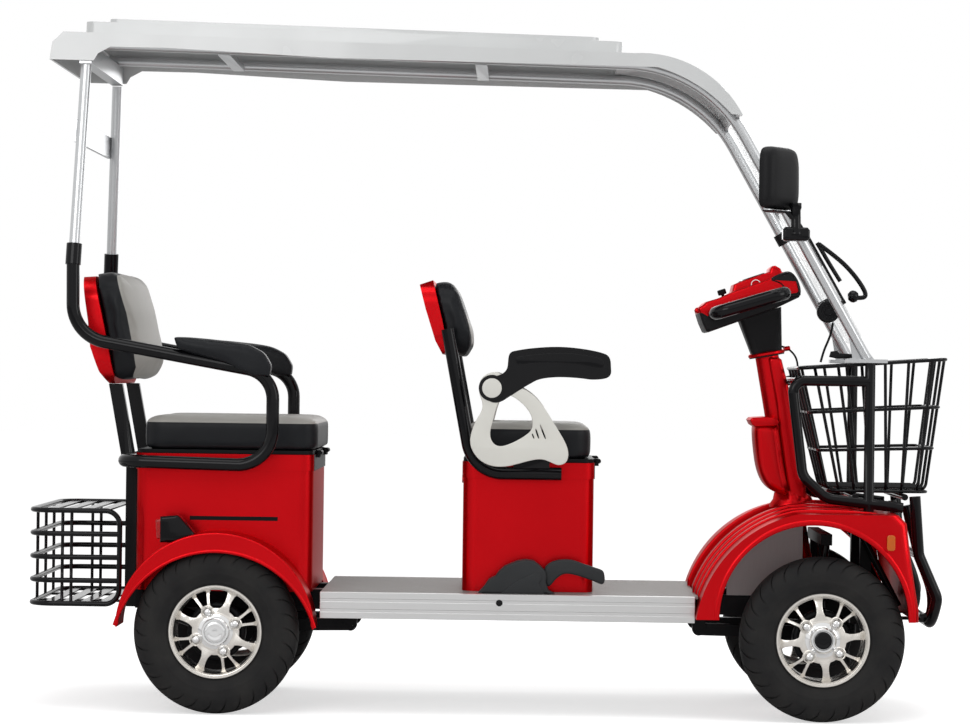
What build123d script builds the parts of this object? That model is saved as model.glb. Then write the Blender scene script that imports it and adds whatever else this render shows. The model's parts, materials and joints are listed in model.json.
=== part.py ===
from build123d import *
import os
from math import cos, radians, sin, sqrt, tan

# Four-wheel electric scooter with two seat rows under a roof.
# Millimetres. X forward, Y to the vehicle's left, Z up, origin on the floor under its middle.

os.makedirs("parts", exist_ok=True)

# Driving dimensions
wheelbase = 1490
rear_axle_x = -666
track = 590
tyre_od = 406
tyre_width = 100
body_width = 710
deck_z = 300
seat_gap = 0.3
cut_overrun = 5

front_axle_x = rear_axle_x + wheelbase
axle_z = tyre_od / 2
body_half = body_width / 2


def bent(points, bend, size):
    """Sweeps a round tube of one diameter along straight runs joined by bends."""
    with BuildLine() as path:
        FilletPolyline(*points, radius=bend)
    with BuildSketch(Plane(origin=path.line @ 0, z_dir=path.line % 0)) as section:
        Circle(size / 2)
    sweep(section.sketch, path=path.line)


def bar(start, end, size):
    """Adds a straight round bar from one point to another."""
    reach = Vector(*end) - Vector(*start)
    with BuildSketch(Plane(origin=start, z_dir=reach)) as section:
        Circle(size / 2)
    extrude(section.sketch, amount=reach.length)


def block(low, high, mode=Mode.ADD):
    """Adds a rectangular bar between two opposite corners."""
    size = Vector(*high) - Vector(*low)
    with Locations(low):
        Box(size.X, size.Y, size.Z, align=(Align.MIN, Align.MIN, Align.MIN), mode=mode)


def spread(corner, reach, shares):
    """Places a table of shares within a rectangle that starts at a corner."""
    return [(corner[0] + a * reach[0], corner[1] + b * reach[1]) for a, b in shares]


def on_side(y, points):
    """Turns (x, z) places into points at one distance from the middle plane."""
    return [(x, y, z) for x, z in points]


# Wheels: a tyre and a spoked rim with its brake drum, one pair for each wheel
rim_seat_r = 104
rim_flange_r = 115
rim_width = 72
rim_wall = 5
rim_lip = 4
tyre_shoulder_r = 192
tyre_tread = 84
dish_hub_depth = 12
dish_rim_depth = 20
dish_wall = 8
spoke_in_r = 42
spoke_out_r = 93
nut_window_r = 68
nut_circle_r = 52
nut_recess_r = 13
nut_recess_depth = 3
drum_r = 70
drum_bore_r = 62
drum_depth = 38
drum_floor = 4
hub_r = 24
collar_out = 44
cap_out = 50
cap_bevel = 4
stub_r = 10
stub_end = 35
stub_gap = 0.3
window_turn = 25
window_half_turn = 10
nut_window_half_turn = 7

# Each wheel: name, axle place, side, turn of its nuts in degrees, collar radius, cap radius
wheel_places = [
    ("rear_right", rear_axle_x, -1, 22.5, 33, 25),
    ("rear_left", rear_axle_x, 1, 22.5, 33, 25),
    ("front_right", front_axle_x, -1, 51.5, 29.5, 21.5),
    ("front_left", front_axle_x, 1, 51.5, 29.5, 21.5),
]

for place, axle_x, side, nut_turn, collar_r, cap_r in wheel_places:
    centre = (axle_x, side * track / 2, axle_z)
    wheel_axis = Axis(centre, (0, side, 0))
    section = Plane(origin=centre, x_dir=(0, side, 0), z_dir=(side, 0, 0))
    face = Plane(origin=centre, x_dir=(1, 0, 0), z_dir=(0, side, 0))

    bead = rim_width / 2 - seat_gap
    wall_foot = rim_flange_r + rim_lip
    wall_mid = (wall_foot + tyre_shoulder_r) / 2
    with BuildPart() as tyre:
        with BuildSketch(section):
            with BuildLine():
                Line((-bead, rim_seat_r + seat_gap), (bead, rim_seat_r + seat_gap))
                Line((bead, rim_seat_r + seat_gap), (bead, wall_foot))
                ThreePointArc((bead, wall_foot), (tyre_width / 2, wall_mid),
                    (tyre_tread / 2, tyre_shoulder_r))
                ThreePointArc((tyre_tread / 2, tyre_shoulder_r), (0, axle_z),
                    (-tyre_tread / 2, tyre_shoulder_r))
                ThreePointArc((-tyre_tread / 2, tyre_shoulder_r), (-tyre_width / 2, wall_mid),
                    (-bead, wall_foot))
                Line((-bead, wall_foot), (-bead, rim_seat_r + seat_gap))
            make_face()
        revolve(axis=wheel_axis)
    tyre.part.label = f"tyre_{place}"
    export_step(tyre.part, f"parts/tyre_{place}.step")

    well = rim_width / 2
    lip = well + rim_wall
    barrel_r = rim_seat_r - rim_lip
    dish_top = well - rim_wall
    hub_top = dish_top - dish_hub_depth + dish_wall
    with BuildPart() as rim:
        with BuildSketch(section):
            Polygon(
                (-lip, rim_flange_r), (-well, rim_flange_r), (-well, rim_seat_r), (well, rim_seat_r),
                (well, rim_flange_r), (lip, rim_flange_r), (lip, rim_flange_r - rim_lip), (well, barrel_r),
                (-well, barrel_r), (-lip, rim_flange_r - rim_lip),
                align=None,
            )
        revolve(axis=wheel_axis)
        with BuildSketch(section):
            Polygon(
                (hub_top - dish_wall, hub_r), (hub_top, hub_r), (dish_top, nut_window_r),
                (dish_top - dish_rim_depth + dish_wall, barrel_r + rim_lip / 2),
                (dish_top - dish_rim_depth, barrel_r + rim_lip / 2), (dish_top - dish_wall, nut_window_r),
                align=None,
            )
        revolve(axis=wheel_axis)
        with BuildSketch(face.offset(drum_floor)):
            with PolarLocations(0, 4, start_angle=nut_turn):
                for turn in (window_turn, -window_turn):
                    Polygon(*[
                        (r * cos(radians(turn + a)), r * sin(radians(turn + a)))
                        for r, a in (
                            (spoke_in_r, -window_half_turn), (spoke_out_r, -window_half_turn),
                            (spoke_out_r, window_half_turn), (spoke_in_r, window_half_turn),
                        )
                    ], align=None)
                Polygon(*[
                    (r * cos(radians(a)), r * sin(radians(a)))
                    for r, a in (
                        (nut_window_r, -nut_window_half_turn), (spoke_out_r, -nut_window_half_turn),
                        (spoke_out_r, nut_window_half_turn), (nut_window_r, nut_window_half_turn),
                    )
                ], align=None)
        extrude(amount=lip, mode=Mode.SUBTRACT)
        with BuildSketch(section):
            Polygon(
                (-drum_depth + drum_floor, drum_bore_r), (-drum_depth + drum_floor, drum_r),
                (drum_floor, drum_r), (drum_floor, collar_r), (collar_out, collar_r), (collar_out, cap_r),
                (cap_out, cap_r - cap_bevel), (cap_out, 0), (stub_end + stub_gap, 0),
                (stub_end + stub_gap, stub_r + stub_gap), (-drum_depth + cap_bevel, stub_r + stub_gap),
                (-drum_depth + cap_bevel, hub_r), (-drum_floor, hub_r), (-drum_floor, drum_bore_r),
                align=None,
            )
        revolve(axis=wheel_axis)
        with BuildSketch(face.offset(hub_top)):
            with PolarLocations(nut_circle_r, 4, start_angle=nut_turn):
                Circle(nut_recess_r)
        extrude(amount=nut_recess_depth)
    rim.part.label = f"rim_{place}"
    export_step(rim.part, f"parts/rim_{place}.step")

# Chassis: two long rails under the deck, crossbars, and uprights under the nose
rail_y = 105
rail_w = 40
rail_h = 50
deck_sheet = 4
rail_top = deck_z - deck_sheet
rail_low = rail_top - rail_h
rail_rear_reach = 252
rail_front_reach = 206
deck_rear_gap = 254
deck_front_gap = 304
crossbar_w = 40
side_channel_y = 300
side_channel_wall = 3
nose_bar_x = 126
nose_bar_top = 500
nose_bar_h = 28
shock_bar_z = 455
shock_bar_x = 21
shock_bar_half = 180
rear_leg_w = 28
seat_cross_back = 234
seat_cross_z = 620
seat_tube_d = 32
pivot_r = 8
pivot_drop = 38
pivot_ear_w = 6
pivot_eye_w = 30
pivot_eye_r = 16
front_pivot_gap = 292
rear_pivot_gap = 320
column_tilt = 10
column_tube_d = 60
column_foot = 62
cowl_r = 316
cowl_low_z = 251
steer_arm = 80
link_z = 227.5
kingpin_y = 215
damper_y = 155
damper_rod_d = 18
rear_damper_back = 196
damper_lean_gap = 3.6

deck_rear_x = rear_axle_x + deck_rear_gap
seat_cross_x = rear_axle_x - seat_cross_back
deck_front_x = front_axle_x - deck_front_gap
rail_rear_x = rear_axle_x - rail_rear_reach
rail_front_x = front_axle_x + rail_front_reach
front_pivot_x = front_axle_x - front_pivot_gap
rear_pivot_x = rear_axle_x + rear_pivot_gap
pivot_z = rail_low - pivot_drop
cowl_foot_x = front_axle_x - (cowl_r ** 2 - (cowl_low_z - axle_z) ** 2) ** 0.5
tilt_sin = sin(radians(column_tilt))
tilt_cos = cos(radians(column_tilt))
# The column's line meets the axle so that its arm and the wheels' arms make a parallelogram
arm_rise = steer_arm * (1 - tilt_cos) / tilt_sin
column_foot_z = link_z + arm_rise * tilt_cos - steer_arm * tilt_sin
column_up = Vector(-tilt_sin, 0, tilt_cos)
column_ahead = Vector(tilt_cos, 0, tilt_sin)
column_plane = Plane(origin=(front_axle_x, 0, column_foot_z), x_dir=column_ahead, z_dir=column_up)
crossbar_shares = (0.025, 0.5, 0.95)

with BuildPart() as chassis_frame:
    with BuildSketch(Plane.YZ.offset(rail_rear_x)):
        with Locations((-rail_y, rail_top - rail_h / 2), (rail_y, rail_top - rail_h / 2)):
            Rectangle(rail_w, rail_h)
    extrude(amount=rail_front_x - rail_rear_x)
    for share in crossbar_shares:
        bar_x = deck_rear_x + share * (deck_front_x - deck_rear_x)
        half_y = side_channel_y - side_channel_wall - seat_gap
        block((bar_x - crossbar_w / 2, -half_y, rail_low), (bar_x + crossbar_w / 2, half_y, rail_top))
    # Front subframe: uprights, the bar that carries the nose and the bar that carries the dampers
    nose_x = front_axle_x + nose_bar_x
    shock_x = front_axle_x + shock_bar_x
    for side in (-1, 1):
        near = min(side * (rail_y - nose_bar_h / 2), side * (rail_y + nose_bar_h / 2))
        for upright_x, top in ((nose_x, nose_bar_top), (shock_x, shock_bar_z)):
            block((upright_x - nose_bar_h / 2, near, rail_top - nose_bar_h),
                  (upright_x + nose_bar_h / 2, near + nose_bar_h, top - nose_bar_h / 2))
    for bar_x, top, half_y in ((nose_x, nose_bar_top, 2 * rail_y), (shock_x, shock_bar_z, shock_bar_half)):
        block((bar_x - nose_bar_h / 2, -half_y, top - nose_bar_h), (bar_x + nose_bar_h / 2, half_y, top))
    # Column foot plate between the rails, with the tube's socket
    foot = column_plane.offset(column_foot).origin
    block((foot.X - column_tube_d, -rail_y, rail_top - nose_bar_h / 2),
          (foot.X + column_tube_d, rail_y, rail_top))
    with BuildSketch(column_plane):
        Circle(column_tube_d / 2 + seat_gap)
    extrude(amount=2 * column_foot, mode=Mode.SUBTRACT)
    # Rear legs behind the box, up to the seat frame
    for side in (-1, 1):
        near = side * rail_y - rear_leg_w / 2
        block((rail_rear_x, near, rail_top - rail_h / 2),
              (rail_rear_x + rear_leg_w, near + rear_leg_w, seat_cross_z - seat_tube_d / 2 - seat_gap))
    # Brackets beside the rails that the rear dampers lean on
    for side in (-1, 1):
        bracket_y = side * (rail_y + damper_y) / 2
        bracket_half = (damper_y + damper_rod_d - rail_y) / 2
        damper_seat_x = rear_axle_x - rear_damper_back - damper_lean_gap
        block((damper_seat_x - rail_w / 2, bracket_y - bracket_half, rail_low),
              (damper_seat_x, bracket_y + bracket_half, rail_top))
    # Ears and pins that the axle arms swing on
    for pivot_x in (front_pivot_x, rear_pivot_x):
        for side in (-1, 1):
            for step in (-1, 1):
                ear_y = side * rail_y + step * (pivot_eye_w / 2 + seat_gap + pivot_ear_w / 2)
                block((pivot_x - pivot_eye_r, ear_y - pivot_ear_w / 2, pivot_z),
                      (pivot_x + pivot_eye_r, ear_y + pivot_ear_w / 2, rail_low + pivot_ear_w))
            pin_half = pivot_eye_w / 2 + seat_gap + pivot_ear_w
            with BuildSketch(Plane.XZ.offset(-side * rail_y - pin_half)):
                with Locations((pivot_x, pivot_z)):
                    Circle(pivot_r)
            extrude(amount=2 * pin_half)
chassis_frame.part.label = "chassis_frame"
export_step(chassis_frame.part, "parts/chassis_frame.step")

# Deck: a ribbed floor between two aluminium side channels
deck_rib_pitch = 16
deck_rib_w = 8
deck_rib_h = 3
side_channel_h = 64
side_channel_w = 18
side_groove = 1.5
side_groove_w = 8
side_groove_shares = (0.3, 0.7)
side_lip_h = 2
side_lip_top = deck_z + side_lip_h

deck_length = deck_front_x - deck_rear_x
with BuildPart() as deck_panel:
    panel_half = side_channel_y - side_channel_w - seat_gap
    block((deck_rear_x, -panel_half, rail_top + seat_gap), (deck_front_x, panel_half,
        deck_z - deck_rib_h / 3))
    with BuildSketch(Plane.XY.offset(deck_z - deck_rib_h / 3)):
        with Locations((deck_rear_x + deck_length / 2, 0)):
            with GridLocations(0, deck_rib_pitch, 1, int(2 * panel_half / deck_rib_pitch)):
                Rectangle(deck_length, deck_rib_w)
    extrude(amount=deck_rib_h)
deck_panel.part.label = "deck_panel"
export_step(deck_panel.part, "parts/deck_panel.step")

with BuildPart() as deck_rails:
    with BuildSketch(Plane.YZ.offset(deck_rear_x)):
        channel_mid = side_lip_top - side_channel_h / 2
        with Locations((-side_channel_y + side_channel_w / 2, channel_mid)):
            Rectangle(side_channel_w, side_channel_h)
        with Locations((-side_channel_y + side_channel_wall + side_channel_w / 2, channel_mid)):
            Rectangle(side_channel_w, side_channel_h - 2 * side_channel_wall, mode=Mode.SUBTRACT)
        for share in side_groove_shares:
            with Locations((-side_channel_y, side_lip_top - share * side_channel_h)):
                Rectangle(2 * side_groove, side_groove_w, mode=Mode.SUBTRACT)
    extrude(amount=cowl_foot_x - seat_gap - deck_rear_x)
    mirror(about=Plane.XZ)
deck_rails.part.label = "deck_rails"
export_step(deck_rails.part, "parts/deck_rails.step")

# Storage boxes under the two seat rows
box_wall = 4
box_corner = 35
box_lip_h = 40
box_lip_out = 5
rear_box_setback = 213
rear_box_length = 441
rear_box_half = 231
front_box_gap = 258
front_box_length = 327
front_box_half = 195
rear_box_top = 637
front_box_top = 625
hinge_r = 6
hinge_pin_r = 3
hinge_ahead = 12
hinge_up = 4
hinge_y = 130
hinge_knuckle = 15
lock_w = 16
lock_h = 10

rear_box_x = rear_axle_x - rear_box_setback
front_box_x = deck_front_x - front_box_gap - front_box_length
deck_top = deck_z - deck_rib_h / 3 + deck_rib_h
# Each box: name, rear face, length, half width, floor height, top height
box_places = {
    "rear": (rear_box_x, rear_box_length, rear_box_half, rail_top + seat_gap, rear_box_top),
    "front": (front_box_x, front_box_length, front_box_half, deck_top + seat_gap, front_box_top),
}
hinge_x = {}
hinge_z = {}
for row, (low_x, length, half, low_z, top_z) in box_places.items():
    hinge_x[row] = low_x + length + hinge_ahead
    hinge_z[row] = top_z + hinge_up
    with BuildPart() as seat_box:
        with BuildSketch(Plane.XY.offset(low_z)):
            with Locations((low_x + length / 2, 0)):
                RectangleRounded(length, 2 * half, box_corner)
        extrude(amount=top_z - low_z)
        with BuildSketch(Plane.XY.offset(top_z - box_lip_h)):
            with Locations((low_x + length / 2, 0)):
                RectangleRounded(length + box_lip_out, 2 * (half + box_lip_out), box_corner)
        extrude(amount=box_lip_h)
        with BuildSketch(Plane.XY.offset(low_z + box_wall)):
            with Locations((low_x + length / 2, 0)):
                RectangleRounded(length - 2 * box_wall, 2 * (half - box_wall), box_corner - box_wall)
        extrude(amount=top_z - low_z, mode=Mode.SUBTRACT)
        # Outer knuckles and pin of the two lid hinges
        for side in (-1, 1):
            for step in (-1, 1):
                knuckle_y = side * hinge_y + step * (hinge_knuckle + seat_gap)
                with BuildSketch(Plane.XZ.offset(-knuckle_y - hinge_knuckle / 2)):
                    with Locations((hinge_x[row], hinge_z[row])):
                        Circle(hinge_r)
                extrude(amount=hinge_knuckle)
                block((low_x + length - box_wall / 2, knuckle_y - hinge_knuckle / 2,
                    hinge_z[row] - 2 * hinge_r),
                      (hinge_x[row], knuckle_y + hinge_knuckle / 2, hinge_z[row] - hinge_up))
            with BuildSketch(Plane.XZ.offset(-side * hinge_y - 1.5 * hinge_knuckle)):
                with Locations((hinge_x[row], hinge_z[row])):
                    Circle(hinge_pin_r)
            extrude(amount=3 * hinge_knuckle)
        # Lock barrel on the rear face
        with BuildSketch(Plane.YZ.offset(low_x + box_wall / 2)):
            with Locations((0, top_z - box_lip_h - lock_h)):
                Circle(lock_h)
        extrude(amount=-lock_w / 2)
    seat_box.part.label = f"{row}_box"
    export_step(seat_box.part, f"parts/{row}_box.step")

# Battery block on the front box's floor
battery_length = 270
battery_half = 165
battery_h = 200
with BuildPart() as battery:
    battery_x = front_box_x + (front_box_length - battery_length) / 2
    battery_z = deck_top + box_wall + 2 * seat_gap
    block((battery_x, -battery_half, battery_z), (battery_x + battery_length, battery_half,
        battery_z + battery_h))
battery.part.label = "battery"
export_step(battery.part, "parts/battery.step")

# Seat lids: a pan that shuts on its box, with hinge leaves, and a cushion on it
lid_h = 9.7
cushion_corner = 55
cushion_edge = 18
rear_cushion_rear = 9
rear_cushion_length = 451
rear_cushion_half = 246
rear_cushion_h = 80
front_cushion_rear = -5
front_cushion_length = 332
front_cushion_half = 207.5
front_cushion_h = 84
# Each cushion: start after the box's rear face, length, half width, height
cushion_places = {
    "rear": (rear_cushion_rear, rear_cushion_length, rear_cushion_half, rear_cushion_h),
    "front": (front_cushion_rear, front_cushion_length, front_cushion_half, front_cushion_h),
}
for row, (start, length, half, height) in cushion_places.items():
    low_x, box_length, box_half, low_z, top_z = box_places[row]
    lid_z = top_z + seat_gap
    with BuildPart() as seat_lid:
        with BuildSketch(Plane.XY.offset(lid_z)):
            with Locations((low_x + box_length / 2, 0)):
                RectangleRounded(box_length, 2 * box_half, box_corner)
        extrude(amount=lid_h)
        for side in (-1, 1):
            low_y = side * hinge_y - hinge_knuckle / 2
            with BuildSketch(Plane.XZ.offset(-low_y - hinge_knuckle)):
                with Locations((hinge_x[row], hinge_z[row])):
                    Circle(hinge_r)
            extrude(amount=hinge_knuckle)
            block((low_x + box_length - box_wall, low_y, lid_z),
                (hinge_x[row], low_y + hinge_knuckle, lid_z + lid_h))
            with BuildSketch(Plane.XZ.offset(-low_y - hinge_knuckle - cut_overrun)):
                with Locations((hinge_x[row], hinge_z[row])):
                    Circle(hinge_pin_r + seat_gap)
            extrude(amount=hinge_knuckle + 2 * cut_overrun, mode=Mode.SUBTRACT)
    seat_lid.part.label = f"{row}_lid"
    export_step(seat_lid.part, f"parts/{row}_lid.step")

    with BuildPart() as cushion:
        with BuildSketch(Plane.XY.offset(hinge_z[row] + hinge_r + seat_gap)):
            with Locations((low_x + start + length / 2, 0)):
                RectangleRounded(length, 2 * half, cushion_corner)
        extrude(amount=height)
        fillet(cushion.edges().group_by(Axis.Z)[-1], radius=cushion_edge)
        fillet(cushion.edges().group_by(Axis.Z)[0], radius=cushion_edge / 2)
    cushion.part.label = f"{row}_cushion"
    export_step(cushion.part, f"parts/{row}_cushion.step")

# Rear fenders: a band round each wheel with an outer skirt
fender_r = 244
fender_wall = 5
fender_tip = 11
fender_skirt = 47
with BuildPart() as rear_fenders:
    fender_in = rear_box_half + seat_gap
    fender_skirt_z = axle_z + fender_r - fender_skirt
    fender_tip_z = axle_z + fender_tip
    half_chord_2 = fender_r ** 2 - fender_tip ** 2
    skirt_rise = fender_skirt_z - fender_tip_z
    skirt_mid_z = (fender_skirt_z ** 2 - fender_tip_z ** 2 - half_chord_2) / (2 * skirt_rise)
    with BuildSketch(Plane.XZ.offset(fender_in)):
        with Locations((rear_axle_x, axle_z)):
            Circle(fender_r)
            Circle(fender_r - fender_wall, mode=Mode.SUBTRACT)
        with Locations((rear_axle_x, fender_tip_z)):
            Rectangle(3 * fender_r, 2 * fender_r, align=(Align.CENTER, Align.MAX), mode=Mode.SUBTRACT)
    extrude(amount=body_half - fender_in)
    with BuildSketch(Plane.XZ.offset(body_half - fender_wall)):
        with Locations((rear_axle_x, axle_z)):
            Circle(fender_r)
        with Locations((rear_axle_x, fender_tip_z)):
            Rectangle(3 * fender_r, 2 * fender_r, align=(Align.CENTER, Align.MAX), mode=Mode.SUBTRACT)
        with Locations((rear_axle_x, skirt_mid_z)):
            Circle(fender_skirt_z - skirt_mid_z, mode=Mode.SUBTRACT)
    extrude(amount=fender_wall)
    mirror(about=Plane.XZ)
rear_fenders.part.label = "rear_fenders"
export_step(rear_fenders.part, "parts/rear_fenders.step")

# Front cowl: a hollow nose across both front wheels, with a round foot slope and wheel arches
cowl_wall = 5
cowl_top_z = 512
cowl_nose_gap = 200
cowl_nose_low_gap = 232
cowl_nose_mid_gap = 212
cowl_nose_mid_z = 397
cowl_nose_low_z = 280
arch_r = 231
arch_x = -25
arch_up = 51.5
arch_side = 70
cowl_corner = 40
column_hole_gap = 8
ridge_length = 190
ridge_w = 46
ridge_h = 9
ridge_y = 128
column_corner = 16


def cowl_outline(inset, low_z):
    """Draws the nose's side view, moved inwards by a wall, down to a lowest height."""
    radius = cowl_r - inset
    top = cowl_top_z - inset
    rise = top - axle_z
    top_x = front_axle_x - (radius ** 2 - rise ** 2) ** 0.5
    low_x = front_axle_x - (radius ** 2 - (low_z - axle_z) ** 2) ** 0.5
    mid = radius / sqrt(2)
    with BuildLine() as edge:
        ThreePointArc((low_x, low_z), (front_axle_x - mid, axle_z + mid), (top_x, top))
        Polyline(
            (top_x, top),
            (front_axle_x + cowl_nose_gap - inset - cowl_corner / 2, top),
            (front_axle_x + cowl_nose_gap - inset, top - cowl_corner / 2),
            (front_axle_x + cowl_nose_mid_gap - inset, cowl_nose_mid_z),
            (front_axle_x + cowl_nose_low_gap - inset, low_z + cowl_nose_low_z - cowl_low_z),
            (front_axle_x + cowl_nose_low_gap - inset, low_z),
            (low_x, low_z),
        )
    make_face(edge.edges())


with BuildPart() as front_cowl:
    with BuildSketch(Plane.XZ):
        cowl_outline(0, cowl_low_z)
    extrude(amount=body_half, both=True)
    nose_start_x = front_axle_x + cowl_nose_gap - cowl_corner
    nose_edges = front_cowl.edges().filter_by(lambda e: e.center().X > nose_start_x)
    fillet(nose_edges.filter_by(lambda e: abs(abs(e.center().Y) - body_half) < seat_gap),
        radius=cowl_corner / 2)
    with BuildSketch(Plane.XZ):
        cowl_outline(cowl_wall, cowl_low_z - cut_overrun)
    extrude(amount=body_half - cowl_wall, both=True, mode=Mode.SUBTRACT)
    # Wheel arches, open down to the ground, and the hole for the steering column
    for side in (-1, 1):
        with BuildSketch(Plane.XZ.offset(side * body_half - arch_side)):
            with Locations((front_axle_x + arch_x, axle_z + arch_up)):
                Circle(arch_r)
                Rectangle(2 * arch_r, 2 * arch_r, align=(Align.CENTER, Align.MAX))
        extrude(amount=2 * arch_side, mode=Mode.SUBTRACT)
    with BuildSketch(column_plane):
        RectangleRounded(column_tube_d + column_hole_gap, column_tube_d + column_hole_gap, column_corner)
    extrude(amount=cowl_top_z, mode=Mode.SUBTRACT)
    # Notches where the chassis rails pass through the foot slope
    for side in (-1, 1):
        notch_half = pivot_eye_w / 2 + pivot_ear_w + 2 * seat_gap
        block((cowl_foot_x - cut_overrun, side * rail_y - notch_half, cowl_low_z - cut_overrun),
              (cowl_foot_x + 2 * cowl_corner, side * rail_y + notch_half,
                  rail_top + seat_gap), mode=Mode.SUBTRACT)
    # Two raised ribs along the top
    with BuildSketch(Plane.XY.offset(cowl_top_z - cowl_wall / 2)):
        with Locations((front_axle_x + arch_x + ridge_w, -ridge_y),
            (front_axle_x + arch_x + ridge_w, ridge_y)):
            RectangleRounded(ridge_length, ridge_w, column_hole_gap)
    extrude(amount=ridge_h + cowl_wall / 2)
front_cowl.part.label = "front_cowl"
export_step(front_cowl.part, "parts/front_cowl.step")

# Liners between the wheel arches and the middle of the nose
liner_y = 128
liner_wall = 4
liner_rear = 224
liner_front = 34
with BuildPart() as arch_liners:
    with BuildSketch(Plane.XZ.offset(liner_y)):
        with Locations((front_axle_x, axle_z)):
            Circle(cowl_r - cowl_wall - seat_gap)
        with Locations((front_axle_x - liner_rear, rail_top)):
            Rectangle(liner_rear - liner_front, cowl_top_z - cowl_wall - seat_gap - rail_top,
                      align=(Align.MIN, Align.MIN), mode=Mode.INTERSECT)
    extrude(amount=liner_wall)
    mirror(about=Plane.XZ)
arch_liners.part.label = "arch_liners"
export_step(arch_liners.part, "parts/arch_liners.step")

# Tail lamps on the rear fenders and amber lamps on the nose
lamp_y = 288
lamp_w = 56
lamp_low_z = 396
lamp_top_z = 487
lamp_front = 49
lamp_rear = 128
lamp_lens = 18
amber_length = 20
amber_h = 38
amber_out = 7
amber_x = 160
amber_z = 445
# Each block of a tail lamp: rear and front place from the axle, and how much smaller it is all round
lamp_places = [
    (-lamp_rear, -lamp_front, 0),
    (-lamp_rear - lamp_lens, -lamp_rear - seat_gap, lamp_lens / 4),
]
with BuildPart() as lamps:
    for rear_end, front_end, trim in lamp_places:
        with BuildSketch(Plane.YZ.offset(rear_axle_x + rear_end)):
            with Locations((-lamp_y - lamp_w / 2, (lamp_low_z + lamp_top_z) / 2)):
                RectangleRounded(lamp_w - 2 * trim, lamp_top_z - lamp_low_z - 2 * trim, lamp_lens / 3)
        extrude(amount=front_end - rear_end)
    with BuildSketch(Plane.XZ.offset(lamp_y - cut_overrun)):
        with Locations((rear_axle_x, axle_z)):
            Circle(fender_r + seat_gap)
    extrude(amount=lamp_w + 2 * cut_overrun, mode=Mode.SUBTRACT)
    with BuildSketch(Plane.XZ.offset(body_half + seat_gap)):
        with Locations((front_axle_x + amber_x, amber_z)):
            RectangleRounded(amber_length, amber_h, amber_length / 3)
    extrude(amount=amber_out)
    mirror(about=Plane.XZ)
lamps.part.label = "lamps"
export_step(lamps.part, "parts/lamps.step")

# Rear basket: round hoops joined by uprights, slats above and a tray below
basket_tube = 13
basket_rod = 8
basket_rear = 471
basket_front = 247
basket_half = 262
basket_top_z = 493
basket_low_z = 262
basket_corner = 60
basket_side_bend = 36
basket_hoop_shares = (0.25, 0.5, 0.75)
basket_upright_shares = (0.1, 0.2)
basket_back_shares = (-0.5, 0, 0.5)
basket_slat_shares = (0.2, 0.4, 0.6, 0.8)
slat_w = 26
slat_h = 4
bracket_w = 30
with BuildPart() as rear_basket:
    back_x = rear_axle_x - basket_rear
    front_x = rear_axle_x - basket_front
    inner_x = front_x - basket_side_bend
    basket_h = basket_top_z - basket_low_z
    for hoop_z, end_x in [(basket_top_z, inner_x), (basket_low_z, inner_x)] + [
        (basket_low_z + share * basket_h, front_x) for share in basket_hoop_shares
    ]:
        bent([(end_x, -basket_half, hoop_z), (back_x, -basket_half, hoop_z),
              (back_x, basket_half, hoop_z), (end_x, basket_half, hoop_z)], basket_corner, basket_tube)
    for side in (-1, 1):
        bent(on_side(side * basket_half, [
            (inner_x, basket_top_z), (front_x, basket_top_z), (front_x, basket_low_z), (inner_x,
                basket_low_z),
        ]), basket_side_bend - seat_gap, basket_tube)
        for share in basket_upright_shares:
            upright_x = back_x + basket_corner + share * (front_x - back_x)
            bar((upright_x, side * basket_half, basket_low_z),
                (upright_x, side * basket_half, basket_top_z), basket_rod)
    for share in basket_back_shares:
        bar((back_x, share * basket_half, basket_low_z), (back_x, share * basket_half, basket_top_z),
            basket_rod)
    for share in basket_slat_shares:
        slat_x = back_x + share * (front_x - back_x)
        for slat_z in (basket_top_z, basket_low_z):
            block((slat_x - slat_w / 2, -basket_half, slat_z - slat_h / 2),
                  (slat_x + slat_w / 2, basket_half, slat_z + slat_h / 2))
    for side in (-1, 1):
        block((back_x, side * rail_y - bracket_w / 2, basket_low_z - slat_h - slat_h / 2),
              (rail_rear_x - seat_gap, side * rail_y + bracket_w / 2, basket_low_z))
rear_basket.part.label = "rear_basket"
export_step(rear_basket.part, "parts/rear_basket.step")

# Rear seat frame: one tube round the seat as two side loops and a back bar, with two back uprights
seat_tube_y = 340
seat_tube_top_z = 1103
seat_tube_back = 126
seat_tube_reach = 495
seat_tube_low_z = 612
sleeve_h = 52
sleeve_wall = 3
back_upright_y = 165
back_upright_w = 20
back_upright_depth = 34
back_upright_top = 808
back_lean = 35
post_d = 26
post_top_back = 342
post_top_y = 284
post_top_z = 1598
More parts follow.
